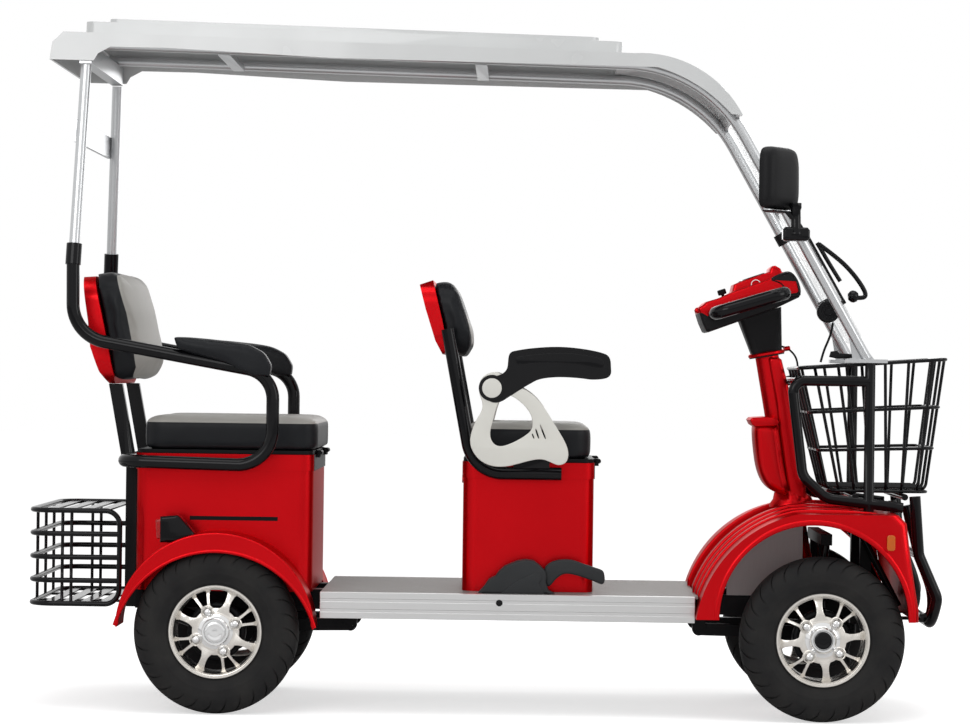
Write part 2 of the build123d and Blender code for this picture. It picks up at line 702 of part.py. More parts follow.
# Shares of the loop's length forward and of its height, from the top down and back
seat_loop_shares = [(0, 1), (0.004, 0.637), (1, 0.461), (1, 0)]
seat_loop_bends = [95, 75, 85, 60]
with BuildPart() as rear_seat_frame:
    loop_x = seat_cross_x - seat_tube_back
    loop = spread((loop_x, seat_tube_low_z), (seat_tube_reach, seat_tube_top_z - seat_tube_low_z),
        seat_loop_shares)
    corner = (seat_cross_x, seat_cross_z)
    near_side = on_side(-seat_tube_y, loop + [corner])
    far_side = on_side(seat_tube_y, loop + [corner])
    bent(near_side + far_side[::-1], seat_loop_bends + seat_loop_bends[::-1], seat_tube_d)
    for side in (-1, 1):
        with BuildSketch(Plane.XZ.offset(side * back_upright_y - back_upright_w / 2)):
            with Locations((seat_cross_x - cut_overrun, seat_cross_z)):
                Polygon(
                    (-back_upright_depth / 2, 0), (back_upright_depth / 2, 0),
                    (back_upright_depth / 2 - back_lean, back_upright_top - seat_cross_z),
                    (-back_upright_depth / 2 - back_lean, back_upright_top - seat_cross_z),
                    align=None,
                )
        extrude(amount=back_upright_w)
        post_foot = Vector(loop_x, side * seat_tube_y, seat_tube_top_z)
        post_run = Vector(rear_axle_x - post_top_back, side * post_top_y, post_top_z) - post_foot
        with BuildSketch(Plane(origin=post_foot, z_dir=post_run).offset(-sleeve_wall)):
            Circle(seat_tube_d / 2 + sleeve_wall)
        extrude(amount=sleeve_h)
        with BuildSketch(Plane(origin=post_foot, z_dir=post_run)):
            Circle(post_d / 2 + seat_gap)
        extrude(amount=sleeve_h, mode=Mode.SUBTRACT)
rear_seat_frame.part.label = "rear_seat_frame"
export_step(rear_seat_frame.part, "parts/rear_seat_frame.step")

# Rear armrest pads, saddled on the seat frame's side loops
pad_in = 25
pad_length = 244
pad_rise = 97
pad_rear_gap = 111
pad_up = 22
# Shares of the pad's length and height, along its top and back along its underside
pad_shares = [
    (0, 1), (0.36, 0.92), (0.76, 0.82), (0.92, 0.62), (1, 0.3), (0.985, 0),
    (0.83, 0), (0.68, 0.13), (0.53, 0.34), (0.045, 0.67),
]
with BuildPart() as rear_armrests:
    with BuildSketch(Plane.XZ.offset(seat_tube_y - pad_in)):
        Polygon(*spread((rear_axle_x - pad_rear_gap, back_upright_top + pad_up), (pad_length, pad_rise),
            pad_shares),
                align=None)
    extrude(amount=2 * pad_in)
    with BuildLine() as tube_line:
        FilletPolyline(*near_side[:4], radius=seat_loop_bends[:2])
    with BuildSketch(Plane(origin=tube_line.line @ 0, z_dir=tube_line.line % 0)) as tube_bore:
        Circle(seat_tube_d / 2 + seat_gap)
    sweep(tube_bore.sketch, path=tube_line.line, mode=Mode.SUBTRACT)
    mirror(about=Plane.XZ)
rear_armrests.part.label = "rear_armrests"
export_step(rear_armrests.part, "parts/rear_armrests.step")

# Seat backs: a moulded shell behind and a pad in front, cut to one rounded front view
back_round = 62
shell_gap = 0.4
back_depth = 200
rear_back_setback = 353
front_back_setback = 115
front_back_up = 255
# Each back: low rear corner, height, half width, then the shell's and the pad's outlines
# as shares of the back's depth forward and of its height
back_places = {
    "rear": (
        (rear_axle_x - rear_back_setback, back_upright_top + shell_gap), 268, 240,
        [(0, 0.99), (0.085, 0.575), (0.115, 0.34), (0.225, 0.11), (0.33, 0), (0.4, 0), (0.41, 0.07),
         (0.295, 0.5), (0.145, 1)],
        [(0.147, 0.995), (0.297, 0.5), (0.412, 0.07), (0.47, 0.02), (0.62, 0.01), (0.8, 0.03), (0.885, 0.07),
         (0.95, 0.195), (0.925, 0.345), (0.815, 0.68), (0.705, 0.91), (0.625, 0.97), (0.43, 0.995)],
    ),
    "front": (
        (front_box_x - front_back_setback, front_box_top + front_back_up), 202, 205,
        [(0, 0.92), (0.08, 0.62), (0.205, 0.23), (0.295, 0.06), (0.37, 0.1), (0.29, 0.48), (0.165, 0.98)],
        [(0.167, 0.98), (0.292, 0.48), (0.372, 0.1), (0.42, 0.02), (0.585, 0), (0.66, 0.15), (0.64, 0.36),
         (0.47, 0.84), (0.4, 0.96), (0.34, 1)],
    ),
}
for row, (corner, height, half, shell_shares, pad_side_shares) in back_places.items():
    for name, shares in (("shell", shell_shares), ("pad", pad_side_shares)):
        with BuildPart() as seat_back:
            with BuildSketch(Plane.XZ):
                Polygon(*spread(corner, (back_depth, height), shares), align=None)
            extrude(amount=half, both=True)
            with BuildSketch(Plane.YZ.offset(corner[0] - back_depth)):
                with Locations((0, corner[1] + height / 2)):
                    RectangleRounded(2 * half, height, back_round)
            extrude(amount=3 * back_depth, mode=Mode.INTERSECT)
        seat_back.part.label = f"{row}_backrest_{name}"
        export_step(seat_back.part, f"parts/{row}_backrest_{name}.step")

# Front seat frame: a bent tube each side under the lid and up the back, with side straps
front_tube_y = 222
front_tube_d = 32
front_tube_low = 27
front_tube_back = 43
front_tube_reach = 288
front_tube_rise = 357
front_tube_bend = 90
strap_x = 125
strap_length = 90
boss_d = 14
# Shares of the tube's reach forward and rise, from the back down and forward
front_tube_shares = [(0, 1), (0.236, 0), (1, 0)]
with BuildPart() as front_seat_tubes:
    tube_corner = (front_box_x - front_tube_back, front_box_top - front_tube_low)
    bent(on_side(-front_tube_y, spread(tube_corner, (front_tube_reach, front_tube_rise),
        front_tube_shares)),
         front_tube_bend, front_tube_d)
    # Strap from the lid's edge to the tube, clear of the box's lip
    strap_in = front_box_half + 2 * box_lip_out
    block((front_box_x + strap_x, -front_tube_y - front_tube_d / 4, front_box_top - front_tube_low),
          (front_box_x + strap_x + strap_length, -strap_in, front_box_top + seat_gap + lid_h))
    block((front_box_x + strap_x, -strap_in, front_box_top + 2 * seat_gap),
          (front_box_x + strap_x + strap_length, -front_box_half - seat_gap,
              front_box_top + seat_gap + lid_h))
    # Boss into the seat back's edge
    boss_z = tube_corner[1] + front_tube_rise - boss_d
    bar((tube_corner[0], -front_tube_y, boss_z),
        (tube_corner[0], -back_places["front"][2] - seat_gap, boss_z), boss_d)
    mirror(about=Plane.XZ)
front_seat_tubes.part.label = "front_seat_tubes"
export_step(front_seat_tubes.part, "parts/front_seat_tubes.step")

# Armrest frames: a white moulded bracket with a large hole each side, carrying the armrest's pivot
arm_pivot_x = 70
arm_pivot_up = 185
arm_pivot_r = 10
arm_disc_r = 33
arm_frame_w = 8
arm_frame_back = 55
arm_frame_size = 250
arm_frame_rise = 208
arm_frame_low = 13
arm_frame_round = 22
arm_w = 40
pivot_gap = 0.5
# Shares of the bracket's length and height: its outline, then its hole
frame_shares = [(0.12, 0.9), (0, 0.38), (0.08, 0.02), (0.62, 0.12), (0.97, 0), (0.95, 0.3),
    (0.66, 0.93), (0.2, 1)]
frame_hole_shares = [(0.38, 0.85), (0.2, 0.62), (0.24, 0.26), (0.5, 0.3), (0.63, 0.52), (0.48, 0.83)]
with BuildPart() as armrest_frames:
    frame_y = front_tube_y + front_tube_d / 2 + seat_gap
    arm_pivot = (front_box_x + arm_pivot_x, front_box_top + arm_pivot_up)
    frame_corner = (arm_pivot[0] - arm_frame_back, front_box_top - arm_frame_low)
    with BuildSketch(Plane.XZ.offset(frame_y)) as frame_side:
        Polygon(*spread(frame_corner, (arm_frame_size, arm_frame_rise), frame_shares), align=None)
        fillet(frame_side.vertices(), radius=arm_frame_round)
        with Locations(arm_pivot):
            Circle(arm_disc_r)
    extrude(amount=arm_frame_w)
    with BuildSketch(Plane.XZ.offset(frame_y - cut_overrun)) as frame_hole:
        Polygon(*spread(frame_corner, (arm_frame_size, arm_frame_rise), frame_hole_shares), align=None)
        fillet(frame_hole.vertices(), radius=arm_frame_round / 2)
    extrude(amount=arm_frame_w + 2 * cut_overrun, mode=Mode.SUBTRACT)
    with BuildSketch(Plane.XZ.offset(frame_y + arm_frame_w)):
        with Locations(arm_pivot):
            Circle(arm_pivot_r)
    extrude(amount=arm_w)
    mirror(about=Plane.XZ)
armrest_frames.part.label = "armrest_frames"
export_step(armrest_frames.part, "parts/armrest_frames.step")

# Armrests that swing up on the brackets' pivots
arm_reach = 290
arm_rise = 110
arm_eye_r = 27
# Shares of the armrest's reach and rise from its pivot
arm_shares = [
    (-0.06, 0.02), (0.14, 0.72), (0.19, 0.87), (0.54, 0.97), (0.94, 0.85), (1, 0.45), (0.86,
        0.36), (0.54, 0.39),
    (0.37, 0.33), (0.09, -0.12),
]
for place, side in (("right", -1), ("left", 1)):
    with BuildPart() as armrest:
        inner_y = frame_y + arm_frame_w + pivot_gap
        with BuildSketch(Plane.XZ.offset(inner_y if side < 0 else -inner_y - arm_w)):
            Polygon(*spread(arm_pivot, (arm_reach, arm_rise), arm_shares), align=None)
            with Locations(arm_pivot):
                Circle(arm_eye_r)
                Circle(arm_pivot_r + pivot_gap, mode=Mode.SUBTRACT)
        extrude(amount=arm_w)
    armrest.part.label = f"armrest_{place}"
    export_step(armrest.part, f"parts/armrest_{place}.step")

# Steering column: a fixed tube, its channel cover with a base flare, and a small pocket behind
column_top = 688
cover_front = 36
cover_half = 40
cover_wall = 4
cover_low = 300
flare_h = 28
pocket_low = 335
pocket_top = 525
pocket_depth = 46
pocket_half = 72
shaft_d = 24
shaft_gap = 4
with BuildPart() as column_tube:
    with BuildSketch(column_plane.offset(column_foot)):
        Circle(column_tube_d / 2)
        Circle(shaft_d / 2 + shaft_gap, mode=Mode.SUBTRACT)
    extrude(amount=column_top - column_foot)
column_tube.part.label = "column_tube"
export_step(column_tube.part, "parts/column_tube.step")

with BuildPart() as column_cover:
    with BuildSketch(column_plane.offset(cover_low)) as cover_section:
        with Locations((cover_front, 0)):
            Rectangle(cover_front, 2 * cover_half, align=(Align.MAX, Align.CENTER))
        fillet(cover_section.vertices().group_by(Axis.X)[-1], radius=2 * cover_wall)
    extrude(amount=column_top - cover_low)
    # Base flare round the column, level on the nose
    with BuildSketch(column_plane.offset(cover_low - flare_h)):
        RectangleRounded(2 * cover_half + cover_wall, 3 * cover_half, 2 * cover_wall)
    extrude(amount=2 * flare_h)
    with BuildSketch(Plane.XY.offset(cowl_top_z + seat_gap)):
        with Locations((front_axle_x, 0)):
            Rectangle(cowl_r, cowl_r)
    extrude(amount=-cowl_r, mode=Mode.SUBTRACT)
    with BuildSketch(column_plane.offset(cover_low - 2 * flare_h)):
        Circle(column_tube_d / 2 + seat_gap)
        with Locations((column_tube_d / 2 + seat_gap, 0)):
            Rectangle(column_tube_d / 2 + seat_gap, 2 * (cover_half - cover_wall),
                align=(Align.MAX, Align.CENTER))
    extrude(amount=column_top, mode=Mode.SUBTRACT)
    # Pocket behind the column, open at its top
    with BuildSketch(column_plane.offset(pocket_low)):
        with Locations((-column_tube_d / 2 - seat_gap - pocket_depth / 2, 0)):
            RectangleRounded(pocket_depth, 2 * pocket_half, 2 * cover_wall)
    extrude(amount=pocket_top - pocket_low)
    with BuildSketch(column_plane.offset(pocket_low + cover_wall)):
        with Locations((-column_tube_d / 2 - seat_gap - pocket_depth / 2, 0)):
            RectangleRounded(pocket_depth - 2 * cover_wall, 2 * (pocket_half - cover_wall), cover_wall)
    extrude(amount=pocket_top, mode=Mode.SUBTRACT)
column_cover.part.label = "column_cover"
export_step(column_cover.part, "parts/column_cover.step")

# Steering head: the shaft with its lower arm, a flared neck, the console and its loop handles
head_gap = 0.3
head_ring_r = 45
head_ring_h = 10
arm_low = 8
arm_h = 10
arm_width = 26
link_pin_r = 6
link_h = 14
neck_low_w = 70
neck_low_l = 78
neck_top_w = 104
neck_top_l = 112
neck_top_x = -140
neck_top_z = 1006
neck_round = 18
console_pitch = 20
with BuildPart() as steering_shaft:
    with BuildSketch(column_plane.offset(arm_low)):
        Circle(shaft_d / 2)
    extrude(amount=column_top + head_gap - arm_low)
    # Lower arm with the pin that sits in the track rod's ring
    with BuildSketch(column_plane.offset(arm_low)):
        with Locations((steer_arm / 2, 0)):
            SlotCenterToCenter(steer_arm, arm_width)
    extrude(amount=arm_h)
    with BuildSketch(column_plane.offset(arm_low)):
        with Locations((steer_arm, 0)):
            Circle(link_pin_r)
    extrude(amount=-arm_low - arm_rise - link_h / 2)
    # Joint ring and the neck that widens up to the console
    with BuildSketch(column_plane.offset(column_top + head_gap)):
        Circle(head_ring_r)
    extrude(amount=head_ring_h)
    neck_seat = Plane(
        origin=(front_axle_x + neck_top_x, 0, neck_top_z),
        x_dir=(cos(radians(console_pitch)), 0, sin(radians(console_pitch))),
        z_dir=(-sin(radians(console_pitch)), 0, cos(radians(console_pitch))),
    )
    with BuildSketch(column_plane.offset(column_top + head_gap + head_ring_h)):
        RectangleRounded(neck_low_l, neck_low_w, neck_round)
    with BuildSketch(neck_seat):
        RectangleRounded(neck_top_l, neck_top_w, neck_round)
    loft()
steering_shaft.part.label = "steering_shaft"
export_step(steering_shaft.part, "parts/steering_shaft.step")

console_half = 100
console_length = 262
console_deep = 118
console_rear_x = -298
console_up = 957
console_round = 38
# Shares of the console's length and height: its side view, from the low rear corner
console_shares = [
    (0.02, 0.27), (0.08, 0.07), (0.5, 0.24), (0.84, 0.4), (0.985, 0.55), (1, 0.72), (0.9, 0.97), (0.8, 1),
    (0.7, 0.9), (0.35, 0.68), (0.16, 0.5), (0, 0.36),
]
with BuildPart() as console:
    console_corner = (front_axle_x + console_rear_x, console_up)
    with BuildSketch(Plane.XZ):
        Polygon(*spread(console_corner, (console_length, 1.5 * console_deep), console_shares), align=None)
    extrude(amount=console_half, both=True)
    with BuildSketch(Plane.XY.offset(console_corner[1])):
        with Locations((console_corner[0] + console_length / 2, 0)):
            RectangleRounded(console_length, 2 * console_half, console_round)
    extrude(amount=2 * console_deep, mode=Mode.INTERSECT)
    with BuildSketch(neck_seat.offset(seat_gap)):
        RectangleRounded(2 * neck_top_l, 2 * neck_top_w, neck_round)
    extrude(amount=-console_deep, mode=Mode.SUBTRACT)
console.part.label = "console"
export_step(console.part, "parts/console.step")

grip_d = 34
grip_y = 205
grip_bend = 34
grip_sunk = 8
grip_in = console_half - grip_sunk
# Each end of a grip: place ahead of the axle and height
grip_rear = (-262, 1004)
grip_front = (-92, 1056)
with BuildPart() as handle_loops:
    for side in (-1, 1):
        ends = [
            (front_axle_x + grip_rear[0], side * grip_in, grip_rear[1]),
            (front_axle_x + grip_rear[0], side * grip_y, grip_rear[1]),
            (front_axle_x + grip_front[0], side * grip_y, grip_front[1]),
            (front_axle_x + grip_front[0], side * grip_in, grip_front[1]),
        ]
        bent(ends, grip_bend, grip_d)
    add(console.part, mode=Mode.SUBTRACT)
handle_loops.part.label = "handle_loops"
export_step(handle_loops.part, "parts/handle_loops.step")

# Knuckles: a barrel on each kingpin, with a stub axle, a brake plate and a steering arm
barrel_r_out = 17
barrel_h = 84
barrel_gap = 1.2
plate_r = 60
plate_w = 3
knuckle_arm_w = 24
rod_eye_r = 13
rod_d = 12
ring_r = 21
ring_bore_r = 11
for place, side in (("right", -1), ("left", 1)):
    pin = (front_axle_x, side * kingpin_y)
    with BuildPart() as knuckle:
        with BuildSketch(Plane.XY.offset(axle_z - barrel_h / 2)):
            with Locations(pin):
                Circle(barrel_r_out)
        extrude(amount=barrel_h)
        stub = Plane(origin=(pin[0], pin[1], axle_z), x_dir=(1, 0, 0), z_dir=(0, side, 0))
        with BuildSketch(stub):
            Circle(stub_r)
        extrude(amount=track / 2 + stub_end - kingpin_y)
        with BuildSketch(stub.offset(track / 2 - drum_depth - kingpin_y)):
            Circle(plate_r)
        extrude(amount=plate_w)
        arm_top = link_z - link_h / 2 - stub_gap
        with BuildSketch(Plane.XY.offset(arm_top - arm_h)):
            with Locations((pin[0] + steer_arm / 2, pin[1])):
                SlotCenterToCenter(steer_arm, knuckle_arm_w)
        extrude(amount=arm_h)
        with BuildSketch(Plane.XY.offset(arm_top - arm_h)):
            with Locations((pin[0] + steer_arm, pin[1])):
                Circle(link_pin_r)
        extrude(amount=arm_h + link_h + stub_gap)
        with BuildSketch(Plane.XY.offset(axle_z - barrel_h)):
            with Locations(pin):
                Circle(pivot_r + stub_gap)
        extrude(amount=2 * barrel_h, mode=Mode.SUBTRACT)
    knuckle.part.label = f"knuckle_{place}"
    export_step(knuckle.part, f"parts/knuckle_{place}.step")

with BuildPart() as track_rod:
    rod_x = front_axle_x + steer_arm
    bar((rod_x, -kingpin_y, link_z), (rod_x, kingpin_y, link_z), rod_d)
    eye_places = [(rod_x, -kingpin_y), (rod_x, kingpin_y)]
    with BuildSketch(Plane.XY.offset(link_z - link_h / 2)):
        with Locations(eye_places):
            Circle(rod_eye_r)
        with Locations((rod_x, 0)):
            Circle(ring_r)
    extrude(amount=link_h)
    with BuildSketch(Plane.XY.offset(link_z - link_h)):
        with Locations(eye_places):
            Circle(link_pin_r + stub_gap)
        with Locations((rod_x, 0)):
            Circle(ring_bore_r)
    extrude(amount=2 * link_h, mode=Mode.SUBTRACT)
track_rod.part.label = "track_rod"
export_step(track_rod.part, "parts/track_rod.step")

# Axles: the front beam with its kingpin yokes, the rear axle with its gearbox and motor,
# each on two arms that swing on the chassis
beam_d = 36
yoke_in = 34
yoke_wall = 12
yoke_ear = 10
yoke_half = 20
arm_bar = 30
rear_tube_d = 50
gearbox_d = 150
gearbox_w = 110
motor_d = 120
motor_l = 150
motor_up = 8
for name, axle_x, pivot_x in (("front_axle", front_axle_x, front_pivot_x),
    ("rear_axle", rear_axle_x, rear_pivot_x)):
    with BuildPart() as axle:
        for side in (-1, 1):
            with BuildSketch(Plane.XZ.offset(side * rail_y - pivot_eye_w / 2)):
                with Locations((pivot_x, pivot_z)):
                    Circle(pivot_eye_r)
                Polygon((pivot_x, pivot_z - arm_bar / 2), (axle_x, axle_z - arm_bar / 2),
                        (axle_x, axle_z + arm_bar / 2), (pivot_x, pivot_z + arm_bar / 2), align=None)
            extrude(amount=pivot_eye_w)
            with BuildSketch(Plane.XZ.offset(side * rail_y - pivot_eye_w)):
                with Locations((pivot_x, pivot_z)):
                    Circle(pivot_r + seat_gap)
            extrude(amount=2 * pivot_eye_w, mode=Mode.SUBTRACT)
        if name == "front_axle":
            bar((axle_x, yoke_wall - kingpin_y + yoke_in / 2, axle_z),
                (axle_x, kingpin_y - yoke_in / 2 - yoke_wall, axle_z), beam_d)
            ear_low = axle_z - barrel_h / 2 - barrel_gap
            ear_high = axle_z + barrel_h / 2 + barrel_gap
            for side in (-1, 1):
                web_y = side * (kingpin_y - yoke_in)
                block((axle_x - yoke_half, web_y - yoke_wall / 2, ear_low - yoke_ear),
                      (axle_x + yoke_half, web_y + yoke_wall / 2, ear_high + yoke_ear))
                for ear_z in (ear_low - yoke_ear, ear_high):
                    with BuildSketch(Plane.XY.offset(ear_z)):
                        with Locations((axle_x, side * (kingpin_y - yoke_in / 2))):
                            Rectangle(2 * yoke_half, yoke_in)
                        with Locations((axle_x, side * kingpin_y)):
                            Circle(yoke_half)
                    extrude(amount=yoke_ear)
                with BuildSketch(Plane.XY.offset(ear_low)):
                    with Locations((axle_x, side * kingpin_y)):
                        Circle(pivot_r)
                extrude(amount=ear_high - ear_low)
        else:
            plate_y = track / 2 - drum_depth
            bar((axle_x, -plate_y, axle_z), (axle_x, plate_y, axle_z), rear_tube_d)
            bar((axle_x, -track / 2 - stub_end, axle_z), (axle_x, track / 2 + stub_end, axle_z), 2 * stub_r)
            bar((axle_x, -plate_y - plate_w, axle_z), (axle_x, -plate_y, axle_z), 2 * plate_r)
            bar((axle_x, plate_y, axle_z), (axle_x, plate_y + plate_w, axle_z), 2 * plate_r)
            bar((axle_x, -gearbox_w / 2, axle_z), (axle_x, gearbox_w / 2, axle_z), gearbox_d)
            bar((axle_x, 0, axle_z + motor_up), (axle_x + motor_l, 0, axle_z + motor_up), motor_d)
    axle.part.label = name
    export_step(axle.part, f"parts/{name}.step")

# Dampers: a rod and a spring sleeve from each axle up to the chassis
damper_spring_d = 42
spring_share = (0.25, 0.8)
rear_damper_up = 60
front_damper_gap = 1.2
with BuildPart() as dampers:
    for side in (-1, 1):
        for foot_at, head_at in (
            ((front_axle_x, side * damper_y, axle_z + beam_d / 2 + seat_gap),
             (shock_x, side * damper_y, shock_bar_z - nose_bar_h - front_damper_gap)),
            ((rear_axle_x - rear_tube_d / 2 - damper_lean_gap, side * damper_y, axle_z),
             (rear_axle_x - rear_damper_back, side * damper_y, axle_z + rear_damper_up)),
        ):
            along = Vector(*head_at) - Vector(*foot_at)
            low = Vector(*foot_at) + along * spring_share[0]
            high = Vector(*foot_at) + along * spring_share[1]
            bar(foot_at, head_at, damper_rod_d)
            bar(tuple(low), tuple(high), damper_spring_d)
dampers.part.label = "dampers"
export_step(dampers.part, "parts/dampers.step")

# Front basket: tapered wire rings and crossing wires
wire_d = 8
rim_wire_d = 9
basket_low_rear = 28
basket_low_front = 274
basket_rim_rear = -51
basket_rim_front = 316
basket_floor_z = 563
basket_rim_rear_z = 869
basket_rim_front_z = 896
basket_floor_half = 150
basket_rim_half = 178
ring_corner = 30
ring_shares = (0, 0.33, 0.64, 1)
cross_shares = (0.1, 0.26, 0.42, 0.58, 0.74, 0.9)
long_shares = (-0.7, -0.25, 0.25, 0.7)


def wire_place(along, across, up):
    """Gives a point on the basket's wall or floor from its shares of length, width and height."""
    rear = basket_low_rear + up * (basket_rim_rear - basket_low_rear)
    front = basket_low_front + up * (basket_rim_front - basket_low_front)
    half = basket_floor_half + up * (basket_rim_half - basket_floor_half)
    rim_z = basket_rim_rear_z + along * (basket_rim_front_z - basket_rim_rear_z)
    return (front_axle_x + rear + along * (front - rear), across * half,
        basket_floor_z + up * (rim_z - basket_floor_z))


with BuildPart() as front_basket:
    for up in ring_shares:
        with BuildLine() as ring:
            FilletPolyline(
                wire_place(0, -1, up), wire_place(1, -1, up), wire_place(1, 1, up), wire_place(0, 1, up),
                radius=ring_corner, close=True,
            )
        with BuildSketch(Plane(origin=ring.line @ 0, z_dir=ring.line % 0)) as ring_section:
            Circle((rim_wire_d if up == 1 else wire_d) / 2)
        sweep(ring_section.sketch, path=ring.line)
    for along in cross_shares:
        bent([wire_place(along, -1, 1), wire_place(along, -1, 0), wire_place(along, 1, 0),
            wire_place(along, 1, 1)],
             wire_d * 3, wire_d)
    for across in long_shares:
        bent([wire_place(0, across, 1), wire_place(0, across, 0), wire_place(1, across, 0),
            wire_place(1, across, 1)],
             wire_d * 3, wire_d)
front_basket.part.label = "front_basket"
export_step(front_basket.part, "parts/front_basket.step")

# Basket frame: a tube loop each side, uprights that also carry the roof posts, and crossbars
frame_tube_d = 26
frame_y = 200
frame_upright_x = 122
frame_top_z = 884
frame_loop_z = 838
frame_rear_x = -73
frame_low_rear_x = -43
frame_low_rear_z = 600
frame_bend_x = 16
frame_bend_z = 545
frame_front_x = 207
frame_front_z = 524
frame_bar_d = 16
frame_bar_gap = 4
with BuildPart() as basket_frame:
    for side in (-1, 1):
        bent(on_side(side * frame_y, [
            (front_axle_x + frame_upright_x, frame_loop_z), (front_axle_x + frame_rear_x, frame_loop_z),
            (front_axle_x + frame_low_rear_x, frame_low_rear_z), (front_axle_x + frame_bend_x,
                frame_bend_z),
            (front_axle_x + frame_front_x, frame_front_z),
        ]), [frame_tube_d + frame_bar_gap, 2 * frame_tube_d, 2 * frame_tube_d], frame_tube_d)
        bar((front_axle_x + frame_upright_x, side * frame_y, cowl_top_z + seat_gap),
            (front_axle_x + frame_upright_x, side * frame_y, frame_top_z), frame_tube_d)
    # Crossbars: two that the column cover is bolted to, and two under the basket
    for bar_z in (frame_loop_z, frame_bend_z + frame_bar_d * 2):
        cover_x = column_plane.origin.X + cover_front / tilt_cos
        bar_back = (bar_z - column_foot_z) * tilt_sin / tilt_cos
        bar_x = cover_x - bar_back + frame_bar_gap + frame_bar_d / 2
        bar((bar_x, -frame_y, bar_z), (bar_x, frame_y, bar_z), frame_bar_d)
    for share in (0.25, 0.75):
        at = wire_place(share, 0, 0)
        bar((at[0], -frame_y, at[2] - wire_d / 2 - seat_gap - frame_bar_d / 2),
            (at[0], frame_y, at[2] - wire_d / 2 - seat_gap - frame_bar_d / 2), frame_bar_d)
basket_frame.part.label = "basket_frame"
export_step(basket_frame.part, "parts/basket_frame.step")

# Bumper: a hoop in front of the nose, bolted to the rails
bumper_d = 28
bumper_y = 200
bumper_bar_z = 408
bumper_bar_d = 22
bumper_plate = 6
bumper_bends = [55, 40, 40]
# Places ahead of the front axle and heights, from the top down
bumper_side = [(237, 553), (248, 408), (296, 300), (282, 238)]
with BuildPart() as bumper:
    side_places = [(front_axle_x + x, z) for x, z in bumper_side]
    bent(on_side(-bumper_y, side_places) + on_side(bumper_y, side_places)[::-1],
         bumper_bends + bumper_bends[::-1], bumper_d)
    bar((front_axle_x + bumper_side[1][0], -bumper_y, bumper_bar_z),
        (front_axle_x + bumper_side[1][0], bumper_y, bumper_bar_z), bumper_bar_d)
    # Flat bars bolted under the chassis rails
    for side in (-1, 1):
        block((rail_front_x - 2 * rail_w, side * rail_y - rail_w / 2, rail_low - seat_gap - bumper_plate),
              (front_axle_x + bumper_side[3][0], side * rail_y + rail_w / 2, rail_low - seat_gap))
bumper.part.label = "bumper"
export_step(bumper.part, "parts/bumper.step")

# Roof frame: rails under the roof that bend down as the front posts, with crossbars and foot plates
post_rake = 29.5
post_y = 203
post_foot_gap = 9
post_bend_r = 345
roof_slope = 0.0263
roof_rear_gap = 430
roof_length = 1709
roof_bend_back = 479
roof_half = 310
roof_wall = 5
roof_front_drop = 186
roof_line_z = 1638
roof_rail_over = 12
plate_length = 102
plate_half = 18
plate_front_share = 0.4
gusset_rise_share = 0.9
crossbar_h = 30
crossbar_places = (332, 975)
rear_crossbar_out = 97
foot_x = front_axle_x + frame_upright_x - post_foot_gap
foot_z = frame_top_z + seat_gap + post_foot_gap
post_tan = tan(radians(post_rake))
roof_bend_x = front_axle_x - roof_bend_back
rail_line_z = roof_line_z - roof_wall - post_d / 2 - seat_gap
# Where the rail's line, which follows the roof's slope, meets the post's line
bend_z = (rail_line_z + (roof_bend_x - foot_x - foot_z * post_tan) * roof_slope) / (1 - post_tan * roof_slope)
bend_x = foot_x - (bend_z - foot_z) * post_tan
post_top_x = rear_axle_x - post_top_back
rail_rear_x_end = post_top_x - roof_rail_over
roof_rail = [
    (rail_rear_x_end, rail_line_z + (roof_bend_x - rail_rear_x_end) * roof_slope), (bend_x,
        bend_z), (foot_x, foot_z),
]
with BuildPart() as roof_frame:
    for side in (-1, 1):
        bent(on_side(side * post_y, roof_rail), post_bend_r, post_d)
        plate_x = foot_x + post_foot_gap + plate_front_share * plate_length
        block((plate_x - plate_length, side * post_y - plate_half, frame_top_z + seat_gap),
              (plate_x, side * post_y + plate_half, foot_z))
        with BuildSketch(Plane.XZ.offset(side * post_y - roof_wall / 2)):
            Polygon((foot_x + plate_half, foot_z), (foot_x - plate_half * 2, foot_z),
                    (foot_x - gusset_rise_share * plate_length * post_tan,
                        foot_z + gusset_rise_share * plate_length),
                    align=None)
        extrude(amount=roof_wall)
    for ahead in crossbar_places:
        bar_x = post_top_x + ahead
        bar_z = rail_line_z + (roof_bend_x - bar_x) * roof_slope
        block((bar_x - crossbar_h / 2, -post_y, bar_z - crossbar_h / 2),
            (bar_x + crossbar_h / 2, post_y, bar_z))
    # Rear crossbar, out to the rear posts
    bar_z = rail_line_z + (roof_bend_x - post_top_x) * roof_slope
    block((post_top_x - crossbar_h / 2, -post_y - rear_crossbar_out, post_top_z + seat_gap),
          (post_top_x + crossbar_h / 2, post_y + rear_crossbar_out, bar_z - post_d / 2 + roof_wall / 2))
roof_frame.part.label = "roof_frame"
export_step(roof_frame.part, "parts/roof_frame.step")

# Rear posts from the seat frame's sleeves up to the roof's rear crossbar, with a flat brace
brace_low_z = 1404
brace_h = 56
brace_w = 6
post_top_gap = 3
with BuildPart() as rear_posts:
    for side in (-1, 1):
        foot = Vector(loop_x, side * seat_tube_y, seat_tube_top_z + seat_gap)
        top = Vector(post_top_x, side * post_top_y, post_top_z - post_top_gap)
        bar(tuple(foot), tuple(top), post_d)
    brace_share = (brace_low_z - foot.Z) / (top.Z - foot.Z)
    brace_at = foot + (top - foot) * brace_share
    block((brace_at.X - post_d / 2 - brace_w, -brace_at.Y, brace_low_z),
          (brace_at.X - post_d / 2 + brace_w / 2, brace_at.Y, brace_low_z + brace_h))
rear_posts.part.label = "rear_posts"
export_step(rear_posts.part, "parts/rear_posts.step")

